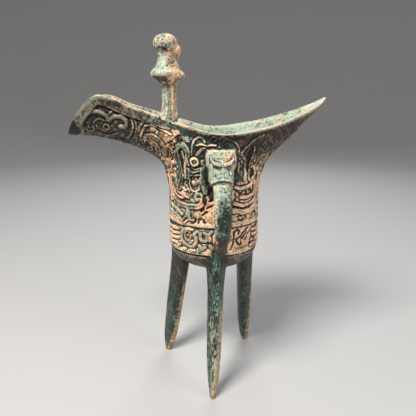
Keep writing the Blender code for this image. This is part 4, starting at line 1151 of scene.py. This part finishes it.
# Where each deposit lies. A spot on the body is (degrees round from the handle, mm above the lower
# band's top), one on the spout is (x, z) in mm; then come its half sizes and how thick it is.
# Soil fills the ground between the raised forms, and dust lies on the forms themselves.
patches = {
    "soil": [
        ("body", -50, 18, 17, 9, 1.05), ("body", -72, 30, 11, 24, 0.95), ("body", -14, 10, 17, 10, 1.15),
        ("body", -58, 49, 16, 9, 1.05), ("body", -62, 38, 9, 13, 1.0), ("body", -44, 50, 8, 4, 0.9),
        ("body", -30, 3, 60, 3, 0.8), ("body", -27, 25, 8, 4, 0.9),
        ("body", 45, 13, 44, 16, 1.0), ("body", 60, 34, 22, 9, 0.75), ("body", 27, 38, 8, 9, 0.5),
        ("body", 36, -8, 34, 10, 1.05), ("body", 74, -8, 20, 10, 0.7),
        ("body", -48, -7, 40, 9, 0.8), ("body", -10, -9, 14, 8, 0.95), ("spout", -40, 157, 9, 9, 0.55),
        ("spout", -31, 151, 7, 11, 0.95), ("spout", -42, 166, 13, 2.6, 0.5),
    ],
    "dust": [
        ("body", -28.4, 37.1, 5.4, 3.8, 1.15), ("body", -20, 46.6, 8, 1.8, 0.65),
        ("body", -6, 46.3, 12, 2.2, 0.8),
        ("body", -41.6, 34, 2.6, 9, 1.15), ("body", -57, 50, 15, 7, 0.8), ("body", -74, 24, 12, 26, 0.85),
        ("body", -20, 1.4, 100, 2.3, 1.15), ("body", 46, 15, 42, 17, 1.1), ("body", 34, -8, 26, 9, 1.0),
        ("body", 74, -8, 20, 10, 1.0), ("body", 31, 38, 15, 12, 0.36), ("body", -46, 53, 16, 3, 1.0),
        ("body", -24, 49, 12, 3, 0.7),
        ("body", -29, 21.4, 8, 2.2, 0.8), ("body", -70, -8, 20, 9, 1.05),
        ("body", -28, -14.6, 90, 2, 0.8), ("body", -56, 30, 4, 8, 0.6), ("body", -14, 11, 16, 6, 0.9),
        ("spout", -36, 156, 8, 9, 0.3), ("spout", -30, 150, 7, 11, 0.5),
    ],
    "mint": [
        ("body", -36, 12, 24, 5, 0.6), ("body", -62, 6, 26, 7, 1.0), ("body", -42, -6, 30, 12, 0.85),
        ("body", -20, 44, 26, 12, 0.3), ("body", -26, 22, 10, 12, 0.35), ("body", -12, -6, 10, 12, 0.5),
    ],
    "stain": [
        ("spout", -79.5, 155, 4.2, 9, 1.4), ("spout", -54, 171, 5, 2, 0.7), ("spout", -36, 166, 8, 2, 0.6),
        ("body", 6, 50, 30, 2.4, 0.7), ("body", 35.6, 38, 2.6, 8, 1.3), ("body", -14, 28, 4, 10, 0.7),
        ("spout", -60, 149, 14, 4, 0.8), ("body", -9, 20, 4.6, 4.4, 1.2), ("body", -17, 16.4, 2.6, 3, 1.1),
        ("body", 45, 30, 3, 2.6, 0.8),
    ],
    "brown": [
        ("spout", -66, 158, 36, 18, 1.2), ("body", 38, 44, 20, 10, 0.9), ("body", 66, 44, 24, 18, 1.2),
        ("body", 90, 60, 34, 26, 1.3),
    ],
}


def spotMask(name, points):
    # The strength of one deposit at each point of the outside, the same on both sides of the cup
    angle = np.degrees(np.arctan2(points[:, 0], np.abs(points[:, 1])))
    onSpout = 1 - smoothStep(-36 * mm, -26 * mm, points[:, 0])
    total = np.zeros(len(points))
    for kind, first, second, halfFirst, halfSecond, strength in patches[name]:
        if kind == "body":
            across, up = angle - first, (points[:, 2] - cup["bandTop"]) / mm - second
            here = 1 - 0.8 * onSpout
        else:
            across, up = points[:, 0] / mm - first, points[:, 2] / mm - second
            here = onSpout
        away = np.hypot(across / halfFirst, up / halfSecond)
        total = np.maximum(total, strength * (1 - smoothStep(0.55, 1.35, away)) * here)
    return total


def readAttribute(mesh, name):
    values = np.empty(len(mesh.vertices), np.float32)
    mesh.attributes[name].data.foreach_get("value", values)
    return values.astype(float)


def rightEdge(points):
    # How near a point of a leg is to the edge that faces the tail, from -1 to 1 across the leg
    away = np.full(len(points), np.inf)
    across = np.zeros(len(points))
    for name in legs["places"]:
        root, foot, _, _ = legEnds(name)
        way = 1 - points[:, 2] / legs["top"]
        offset = points[:, 0] - (root[0] + (foot[0] - root[0]) * way)
        apart = np.hypot(offset, points[:, 1] - (root[1] + (foot[1] - root[1]) * way))
        across = np.where(apart < away, offset, across)
        away = np.minimum(away, apart)
    return across / (0.4 * legs["width"])


def markDeposits(whole):
    mesh = whole.data
    points = vertexArray(mesh)
    downward = -normalArray(mesh)[:, 2]
    x, y, z = points.T / mm
    onLegs, onHandle, onMask, onPosts = (readAttribute(mesh, "on" + part)
                                         for part in ("Legs", "Handle", "Mask", "Posts"))
    inside = readAttribute(mesh, "inside")
    joinedOn = np.clip(onLegs + onHandle + onMask + onPosts, 0, 1)
    skin = (1 - inside) * (1 - joinedOn)
    under = rimHeight(x) - z
    # Just under the rim the wall is painted dark brown as the shade under the rim, and kept clear of soil
    # and dust
    underRimShade = (1 - smoothStep(3.6, 5.6, under)) * smoothStep(-24, -12, x)     # the dark zone under the rim
    bowl = 1 - smoothStep(cup["bandLow"] / mm - 1.6, cup["bandLow"] / mm - 0.4, z)
    frontLeg = onLegs * (y < -10)
    edge = rightEdge(points)
    goldenFrom = np.interp(z, (0, 14, 30, 60), (-0.5, 0, 0.45, 0.75))
    marks = {
        "soil": [spotMask("soil", points) * skin * (1 - underRimShade),
                 onMask * (0.34 + 0.2 * smoothStep(137, 145, z)),
                 onPosts * (0.42 + 0.25 * smoothStep(-28, -23, x)),
                 onHandle * (0.16 + 0.40 * smoothStep(0, -4, x)),
                 inside * (0.06 + 0.18 * smoothStep(4, -16, x) + 0.30 * smoothStep(-34, -44, x))],
        "dust": [spotMask("dust", points) * skin * (1 - underRimShade), 0.5 * onMask * smoothStep(132, 145, z)],
        "mint": [spotMask("mint", points) * skin, 0.8 * onMask,
                 # The strap's upper part and left side are painted paler mint as light falling on them
                 onHandle * (0.05 + 0.6 * smoothStep(112, 126, z) + 0.3 * smoothStep(-0.6, -3, x)),
                 0.7 * onPosts, inside * (0.80 - 0.4 * smoothStep(-34, -44, x)),
                 frontLeg * (0.04 + 0.36 * smoothStep(64, 40, z)), 0.02 * onLegs],
        # The brown mark holds real brown patina and painted shade: on the strap's right side and lower part,
        # in the bowl, under the rim and on faces turned down
        "brown": [spotMask("brown", points) * skin, 0.45 * onHandle * smoothStep(0.5, 4, x),
                  # The bowl below the band is brown, partly its own patina and partly painted shade; the
                  # zone under the rim is painted dark as shade
                  bowl * skin * 1.2, 0.75 * underRimShade * skin,
                  # The strap's lower part, and the posts' undersides, are painted darker brown as shade
                  onHandle * 0.62 * smoothStep(110, 100, z), onPosts * smoothStep(0.45, 0.8, downward) * 1.3,
                  (onLegs - frontLeg) * (0.34 + 0.24 * smoothStep(30, 75, z)),
                  0.2 * frontLeg,
                  # Outside faces turned down are painted brown as shade
                  (1 - inside) * smoothStep(0.35, 0.8, downward) * (z > 60)],
        "golden": [0.56 * onLegs * smoothStep(9, 1, z),
                   0.58 * onLegs * smoothStep(0, 0.35, edge - goldenFrom + 0.35 * frontLeg)
                   * smoothStep(70, 50, z)],
        "stain": [spotMask("stain", points) * skin, 0.5 * frontLeg * smoothStep(-0.35, -0.9, edge)],
        "slit": [readAttribute(mesh, "slit") * skin],
        "crest": [np.clip(readAttribute(mesh, "crest"), -2.2, 2.2) * (1 - inside)],
        "swell": [np.clip(readAttribute(mesh, "swell"), -3, 3) * (1 - inside)],
        "lip": [smoothStep(0.35, 0.95, 1 - 2 * np.abs(inside - 0.5))],
        "onWall": [skin],
    }
    giveAttribute(mesh, "border", readAttribute(mesh, "border") * (1 - smoothStep(-34, -27, x)))
    for name, layers in marks.items():
        giveAttribute(mesh, name, np.maximum.reduce(layers))
    markSpirals(mesh, points, middle[:columns])


markDeposits(whole)

# The cup's axis in the frame, from the place of the front foot
footMount = next(m for m in frame["record"]["mounts"] if m["name"] == "front_foot")["pos_m"]
footPlace = legEnds("frontLeg")[1]
axis = Vector((footMount[0] - footPlace[0], footMount[1] - footPlace[1], 0))
whole.data.transform(Matrix.Translation(axis))
shadeSmooth(whole.data)
for thing in list(shelf.objects):
    bpy.data.objects.remove(thing)
bpy.data.collections.remove(shelf)


# Finish: colours are linear RGB

finish = {
    "darkGreen": (0.012, 0.023, 0.018), "midGreen": (0.058, 0.108, 0.076), "mint": (0.39, 0.48, 0.365),
    "paleMint": (0.56, 0.50, 0.36),
    "brown": (0.028, 0.017, 0.010), "edge": (0.46, 0.38, 0.26), "olive": (0.225, 0.222, 0.160),
    # groove is the near-black of the painted shade in hollows, moats, slits and the caps' spiral, and of the
    # dark specks and stains
    "soil": (0.27, 0.135, 0.070), "paleSoil": (0.94, 0.61, 0.41), "groove": (0.005, 0.006, 0.005),
    "gold": (0.70, 0.45, 0.21), "cream": (0.74, 0.60, 0.43),
    "rust": (0.15, 0.072, 0.040), "umber": (0.17, 0.13, 0.088), "ochreSoil": (0.84, 0.56, 0.30),
    "paintedSoilHighlight": (0.98, 0.80, 0.60),
    "cloudSize": 8 * mm, "fleckSize": 1.7 * mm, "patchSize": 3.6 * mm, "crumbSize": 1.3 * mm,
    "grainSize": 0.8 * mm,
    "wearSize": 2.2 * mm, "dirtSize": 2.6 * mm, "speckSize": 1.1 * mm, "rustSize": 2.8 * mm,
    "driftSize": 9 * mm,
    "blotchSize": 3.0 * mm, "speckleSize": 1.5 * mm, "packedSize": 3.4 * mm, "stainSize": 3.0 * mm,
}


def openGroup(name, inputs, outputs):
    tree = bpy.data.node_groups.new(name, "ShaderNodeTree")
    kinds = {"vector": "NodeSocketVector", "colour": "NodeSocketColor", "number": "NodeSocketFloat"}
    for label, kind in inputs:
        tree.interface.new_socket(label, in_out="INPUT", socket_type=kinds[kind])
    for label, kind in outputs:
        tree.interface.new_socket(label, in_out="OUTPUT", socket_type=kinds[kind])
    return tree, tree.nodes.new("NodeGroupInput").outputs


def placeGroup(tree, group, sockets):
    node = tree.nodes.new("ShaderNodeGroup")
    node.node_tree = group
    for key, value in sockets.items():
        if isinstance(value, bpy.types.NodeSocket):
            tree.links.new(value, node.inputs[key])
        else:
            node.inputs[key].default_value = (*value, 1) if isinstance(value, tuple) else value
    return node.outputs


def blend(tree, factor, first, second):
    full = [(*value, 1) if isinstance(value, tuple) else value for value in (first, second)]
    return put(tree, "ShaderNodeMix", {"Factor": factor, 6: full[0], 7: full[1]},
               data_type="RGBA").outputs[2]


def noise(tree, place, size, detail=4.0, roughness=0.55, shift=0.0):
    if shift:
        place = vectorCalc(tree, "ADD", place, (shift, shift * 0.7, shift * 1.3))
    sockets = {"Vector": place, "Scale": 1.0 / size, "Detail": detail, "Roughness": roughness}
    return put(tree, "ShaderNodeTexNoise", sockets).outputs[0]


def centred(tree, value, factor):
    return times(tree, minus(tree, value, 0.5), factor)


def summed(tree, *values):
    total = values[0]
    for value in values[1:]:
        total = plus(tree, total, value)
    return total


def makePatinaGroup():
    # Cast bronze gone dark green, brown in places, with paler corrosion in clouds and flecks; the brown
    # amount also carries painted shade, and the pale amount painted light on the strap
    tree, given = openGroup("castPatina", [("Place", "vector"), ("Dark", "colour"), ("Mid", "colour"),
                                           ("Pale", "colour"), ("Brown", "colour"),
                                           ("Pale Amount", "number"),
                                           ("Brown Amount", "number"), ("Crest", "number")],
                            [("Color", "colour"), ("Flecks", "number")])
    clouds = noise(tree, given["Place"], finish["cloudSize"])
    flecks = noise(tree, given["Place"], finish["fleckSize"], 3.0, 0.6, 0.31)
    tone = summed(tree, centred(tree, clouds, 1.0), centred(tree, flecks, 0.7), 0.5)
    colour = blend(tree, remap(tree, tone, 0.38, 0.66), given["Dark"], given["Mid"])
    brown = plus(tree, given["Brown Amount"], centred(tree, clouds, 1.2))
    colour = blend(tree, remap(tree, brown, 0.35, 0.7), colour, given["Brown"])
    spread = summed(tree, times(tree, flecks, 0.95), times(tree, clouds, 0.55),
                    times(tree, given["Brown Amount"], -0.22), times(tree, given["Pale Amount"], 0.40),
                    times(tree, given["Crest"], 0.06))
    pale = remap(tree, spread, 0.79, 1.14)
    put(tree, "NodeGroupOutput", {"Color": blend(tree, pale, colour, given["Pale"]), "Flecks": pale})
    return tree


def makeSoilGroup():
    # Dry earth that fills the ground between the raised forms, and the dust that lies on the forms, painted
    # paler on crests as highlight and darker in hollows as shade
    tree, given = openGroup("packedSoil", [("Place", "vector"), ("Color", "colour"), ("Soil", "colour"),
                                           ("Pale Soil", "colour"), ("Painted Soil Highlight", "colour"),
                                           ("Ground Amount", "number"),
                                           ("Raised Amount", "number"), ("Raised", "number"),
                                           ("Crest", "number")],
                            [("Color", "colour"), ("Soil Mask", "number")])
    patch = noise(tree, given["Place"], finish["patchSize"], 4.0, 0.6, 0.7)
    crumb = noise(tree, given["Place"], finish["crumbSize"], 3.0, 0.6, 0.45)
    grain = noise(tree, given["Place"], finish["grainSize"], 2.0, 0.6, 0.2)
    form = remap(tree, given["Raised"], 0.30, 0.62)
    amount = put(tree, "ShaderNodeMix", {"Factor": form, 2: given["Ground Amount"],
                                         3: given["Raised Amount"]},
                 data_type="FLOAT").outputs[0]
    level = summed(tree, amount, centred(tree, patch, 1.3), centred(tree, crumb, 1.0),
                   times(tree, given["Crest"], 0.10))
    mask = remap(tree, level, 0.50, 0.68)
    # The earth's tone varies at random, and with the crest as painted light and shade
    tone = summed(tree, centred(tree, grain, 1.2), centred(tree, patch, 1.5), 0.42,
                  times(tree, given["Crest"], 0.36))
    earth = blend(tree, remap(tree, tone, 0.0, 0.82), given["Soil"], given["Pale Soil"])
    # A painted highlight on the earth's crests
    highlightLevel = plus(tree, given["Crest"], centred(tree, grain, 0.8))
    earth = blend(tree, remap(tree, highlightLevel, 0.45, 1.15, 0.0, 0.65), earth, given["Painted Soil Highlight"])
    put(tree, "NodeGroupOutput", {"Color": blend(tree, mask, given["Color"], earth), "Soil Mask": mask})
    return tree


def makeWearAndHighlightGroup():
    # Crests turned to another colour: rubbed wear, which on the carving also serves as a painted highlight
    tree, given = openGroup("wearAndPaintedHighlight", [("Place", "vector"), ("Color", "colour"), ("Worn", "colour"),
                                            ("Crest", "number"), ("Start", "number"), ("Amount", "number")],
                            [("Color", "colour"), ("Wear", "number")])
    broken = noise(tree, given["Place"], finish["wearSize"], 3.0, 0.6, 0.5)
    level = plus(tree, given["Crest"], centred(tree, broken, 1.8))
    wear = remap(tree, minus(tree, level, given["Start"]), 0.0, 0.5)
    wear = times(tree, wear, given["Amount"], clamp=True)
    put(tree, "NodeGroupOutput", {"Color": blend(tree, wear, given["Color"], given["Worn"]), "Wear": wear})
    return tree


def makeGrooveShadeGroup():
    # Painted shade: near-black down in the hollows, in the narrow moat round each raised form and in the
    # slits
    tree, given = openGroup("paintedGrooveShade", [("Place", "vector"), ("Color", "colour"), ("Groove", "colour"),
                                            ("Crest", "number"), ("Swell", "number"), ("Gap", "number"),
                                            ("Moat Amount", "number"), ("Slit", "number"),
                                            ("Amount", "number")],
                            [("Color", "colour")])
    broken = centred(tree, noise(tree, given["Place"], finish["dirtSize"], 3.0, 0.6, 0.9), 1.0)
    depth = summed(tree, times(tree, given["Crest"], -0.75), times(tree, given["Swell"], -0.45), broken)
    dark = times(tree, remap(tree, depth, 0.20, 0.62), given["Amount"])
    edge = times(tree, remap(tree, given["Gap"], -0.22, 0.08),
                 remap(tree, plus(tree, given["Gap"], times(tree, broken, 1.1)), 0.30, 0.62, 1.0, 0.0))
    edge = times(tree, edge, given["Moat Amount"])
    dark = calc(tree, "MAXIMUM", calc(tree, "MAXIMUM", dark, edge), given["Slit"])
    put(tree, "NodeGroupOutput", {"Color": blend(tree, dark, given["Color"], given["Groove"])})
    return tree


def makeSpeckGroup():
    # Small dark specks all over
    tree, given = openGroup("darkSpecks", [("Place", "vector"), ("Color", "colour"), ("Amount", "number")],
                            [("Color", "colour")])
    specks = noise(tree, given["Place"], finish["speckSize"], 2.0, 0.6, 0.15)
    dark = times(tree, remap(tree, specks, 0.50, 0.33), given["Amount"])
    shade = blend(tree, 0.82, given["Color"], finish["groove"])
    put(tree, "NodeGroupOutput", {"Color": blend(tree, dark, given["Color"], shade)})
    return tree


def makeSpiralGroup():
    # A line that winds outwards from the middle: 1 on the line
    tree, given = openGroup("cutSpiral", [("Along", "number"), ("Up", "number"), ("Turns", "number")],
                            [("Line", "number")])
    reach = calc(tree, "SQRT", plus(tree, times(tree, given["Along"], given["Along"]),
                                    times(tree, given["Up"], given["Up"])))
    angle = calc(tree, "DIVIDE", calc(tree, "ARCTAN2", given["Up"], given["Along"]), 2 * math.pi)
    wave = calc(tree, "FRACT", plus(tree, times(tree, reach, given["Turns"]), angle))
    line = remap(tree, calc(tree, "ABSOLUTE", minus(tree, wave, 0.5)), 0.14, 0.30, 1.0, 0.0)
    put(tree, "NodeGroupOutput", {"Line": times(tree, line, remap(tree, reach, 0.95, 1.05, 1.0, 0.0))})
    return tree


def paintBronze(material):
    material.use_nodes = True
    tree = material.node_tree
    shader = tree.nodes["Principled BSDF"]
    shader.inputs["Specular IOR Level"].default_value = 0.35
    place = tree.nodes.new("ShaderNodeTexCoord").outputs["Object"]
    (crest, swell, raised, gap, slit, border, soil, dust, mint, brown, stain, golden, lip, inside, onWall,
     onLegs,
     spiralAlong, spiralUp) = (put(tree, "ShaderNodeAttribute",
                                   attribute_name=name).outputs["Fac"] for name in (
         "crest", "swell", "raised", "gap", "slit", "border", "soil", "dust", "mint", "brown", "stain",
         "golden", "lip",
         "inside", "onWall", "onLegs", "spiralAlong", "spiralUp"))
    stretch = {label: remap(tree, onLegs, 0.0, 1.0, 1.0, most) for label,
               most in (("X", 1.5), ("Y", 1.5), ("Z", 0.75))}
    drawn = put(tree, "ShaderNodeCombineXYZ", stretch).outputs[0]
    streaked = vectorCalc(tree, "MULTIPLY", place, drawn)                  # streaks run down the legs
    form = remap(tree, times(tree, minus(tree, raised, border), onWall), 0.45, 1.0, 0.0, 0.85)
    rusty = remap(tree, noise(tree, place, finish["rustSize"], 4.0, 0.6, 0.55), 0.47, 0.62, 0.0, 0.8)
    # Raised forms in the brown zones are umber, their own colour, and the umber grows toward the top of each
    # roll as a painted highlight
    brownTone = blend(tree, form, blend(tree, rusty, finish["brown"], finish["rust"]), finish["umber"])
    drift = remap(tree, noise(tree, place, finish["driftSize"], 3.0, 0.5, 0.24), 0.46, 0.64)
    paleGreen = blend(tree, drift, finish["mint"], finish["paleMint"])
    patina = placeGroup(tree, makePatinaGroup(), {
        "Place": streaked, "Dark": finish["darkGreen"], "Mid": finish["midGreen"], "Pale": paleGreen,
        "Brown": brownTone, "Pale Amount": mint, "Brown Amount": brown, "Crest": crest})
    blotches = remap(tree, noise(tree, place, finish["blotchSize"], 4.0, 0.65, 0.33), 0.38, 0.58, 0.08, 0.95)
    speckle = remap(tree, noise(tree, place, finish["speckleSize"], 3.0, 0.6, 0.77), 0.42, 0.56, 0.05, 1.0)
    bordered = times(tree, times(tree, border, onWall), times(tree, blotches, speckle))
    base = blend(tree, bordered, patina["Color"], finish["olive"])
    # The carving's crests turn pale: partly rubbed wear, partly a painted highlight along the ridges
    wornAndLitColour = blend(tree, remap(tree, brown, 0.3, 0.8), finish["edge"], finish["olive"])
    crestWearAndHighlight = placeGroup(tree, makeWearAndHighlightGroup(), {
        "Place": place, "Color": base, "Worn": wornAndLitColour, "Crest": times(tree, crest, onWall),
        "Start": 0.40, "Amount": 0.85})
    paleSoil = blend(tree, drift, finish["paleSoil"], finish["ochreSoil"])
    earthy = placeGroup(tree, makeSoilGroup(), {
        "Place": place, "Color": crestWearAndHighlight["Color"], "Soil": finish["soil"], "Pale Soil": paleSoil,
        "Painted Soil Highlight": finish["paintedSoilHighlight"],
        "Ground Amount": soil, "Raised Amount": calc(tree, "MAXIMUM", dust, times(tree, soil, 0.3)),
        "Raised": times(tree, raised, onWall), "Crest": crest})
    # Where soil lies, it has filled most of the moat, so less painted shade goes there
    filled = remap(tree, calc(tree, "MAXIMUM", soil, dust), 0.35, 0.90)
    packed = remap(tree, noise(tree, place, finish["packedSize"], 3.0, 0.55, 0.66), 0.42, 0.55, 0.94, 0.04)
    moat = times(tree, onWall, minus(tree, 0.94, times(tree, filled, packed)))
    # Hollows, moats and slits are darkened to near-black as painted shade
    grooveShaded = placeGroup(tree, makeGrooveShadeGroup(), {
        "Place": place, "Color": earthy["Color"], "Groove": finish["groove"], "Crest": crest, "Swell": swell,
        "Gap": gap, "Moat Amount": moat, "Slit": times(tree, slit, 0.95), "Amount": 0.85})
    uneven = centred(tree, noise(tree, place, finish["stainSize"], 4.0, 0.6, 0.12), 1.6)
    stains = remap(tree, plus(tree, stain, uneven), 0.25, 0.85, 0.0, 0.96)
    stained = blend(tree, stains, grooveShaded["Color"], finish["groove"])
    gilded = placeGroup(tree, bpy.data.node_groups["wearAndPaintedHighlight"], {
        "Place": place, "Color": stained, "Worn": finish["gold"], "Crest": golden, "Start": 0.3,
        "Amount": 0.9})
    spiral = placeGroup(tree, makeSpiralGroup(), {
        "Along": spiralAlong, "Up": spiralUp, "Turns": posts["spiralTurns"]})["Line"]
    # The cut spiral on each cap is painted near-black as the shade in its cut
    cut = blend(tree, times(tree, spiral, 0.8), gilded["Color"], finish["groove"])
    # The lip along the rim is painted pale cream as a highlight
    rimHighlightShare = times(tree, lip, remap(tree, brown, 0.2, 0.9, 0.9, 0.35))
    rimLit = blend(tree, rimHighlightShare, cut, finish["cream"])
    specks = remap(tree, inside, 0.0, 1.0, 0.8, 0.25)
    specked = placeGroup(tree, makeSpeckGroup(), {"Place": place, "Color": rimLit, "Amount": specks})
    tree.links.new(specked["Color"], shader.inputs["Base Color"])
    rough = summed(tree, 0.34, times(tree, stains, 0.3), times(tree, earthy["Soil Mask"], 0.40),
                   times(tree, patina["Flecks"], 0.20))
    tree.links.new(rough, shader.inputs["Roughness"])
    grain = noise(tree, place, finish["grainSize"], 3.0, 0.65)
    height = times(tree, grain, plus(tree, 0.45, times(tree, earthy["Soil Mask"], 0.6)))
    height = minus(tree, height, times(tree, spiral, 1.2))
    relief = put(tree, "ShaderNodeBump", {"Height": height, "Strength": 0.7, "Distance": 0.3 * mm})
    tree.links.new(relief.outputs[0], shader.inputs["Normal"])


paintBronze(bronze)
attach(whole, "root")
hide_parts("bronze_cup")


# Floor, lights and camera

view = {"focalPixels": 400, "imagePixels": 416, "pitch": 16, "yaw": 5,
        "place": (-24.15 * mm, -235.2 * mm, 176 * mm)}
stage = {"flat": 0.9, "curve": 0.8, "height": 2.2, "sides": 72, "colour": (0.50, 0.495, 0.49),
         "roughness": 0.8,
         "skyColour": (0.80, 0.82, 0.86, 1), "skyStrength": 0.22, "lightsAim": (0, 0, 0.11)}
# Lights: place and width in metres, power in watts, colour
lights = {
    "keyLight": ((-0.30, -0.34, 0.74), 0.30, 9, (1.0, 0.97, 0.93)),
    "fillLight": ((0.55, -0.45, 0.35), 0.5, 2.2, (0.93, 0.96, 1.0)),
    "backLight": ((0.15, 0.6, 0.6), 0.5, 2.5, (0.95, 0.97, 1.0)),
}


def makeStage():
    # A round pale floor that curves up into a wall all round
    bends = [0.5 * math.pi * n / 16 for n in range(17)]
    profile = [(stage["flat"] + stage["curve"] * math.sin(a),
                stage["curve"] * (1 - math.cos(a))) for a in bends]
    profile.append((stage["flat"] + stage["curve"], stage["height"]))
    sides = stage["sides"]
    turns = [2 * math.pi * n / sides for n in range(sides)]
    points = [(r * math.cos(a), r * math.sin(a), z) for r, z in profile for a in turns] + [(0, 0, 0)]
    faces = [(len(points) - 1, i, (i + 1) % sides) for i in range(sides)]
    for j in range(len(profile) - 1):
        low, high = j * sides, (j + 1) * sides
        faces += [(low + i, high + i, high + (i + 1) % sides, low + (i + 1) % sides) for i in range(sides)]
    floor = makeObject("floor", points, faces, collection=bpy.context.scene.collection)
    shadeSmooth(floor.data)
    paint = bpy.data.materials.new("paleFloor")
    paint.use_nodes = True
    coat = paint.node_tree.nodes["Principled BSDF"].inputs
    coat["Base Color"].default_value = (*stage["colour"], 1)
    coat["Roughness"].default_value = stage["roughness"]
    floor.data.materials.append(paint)


def makeLight(name, place, size, power, colour):
    data = bpy.data.lights.new(name, "AREA")
    data.shape, data.size, data.energy, data.color = "DISK", size, power, colour
    lamp = bpy.data.objects.new(name, data)
    lamp.location = place
    lamp.rotation_euler = (Vector(stage["lightsAim"]) - Vector(place)).to_track_quat("-Z", "Y").to_euler()
    bpy.context.scene.collection.objects.link(lamp)


def makeCamera():
    data = bpy.data.cameras.new("camera")
    data.lens = 36.0 * view["focalPixels"] / view["imagePixels"]
    data.sensor_width = 36.0
    data.clip_start = 0.01
    camera = bpy.data.objects.new("camera", data)
    camera.location = Vector(view["place"]) + axis
    camera.rotation_euler = (math.radians(90 - view["pitch"]), 0, -math.radians(view["yaw"]))
    bpy.context.scene.collection.objects.link(camera)
    bpy.context.scene.camera = camera


print("stage")
makeStage()
for name, settings in lights.items():
    makeLight(name, *settings)
world = bpy.data.worlds.new("studio")
world.use_nodes = True
sky = world.node_tree.nodes["Background"].inputs
sky["Color"].default_value = stage["skyColour"]
sky["Strength"].default_value = stage["skyStrength"]
bpy.context.scene.world = world
bpy.context.scene.view_settings.view_transform = "Standard"
makeCamera()
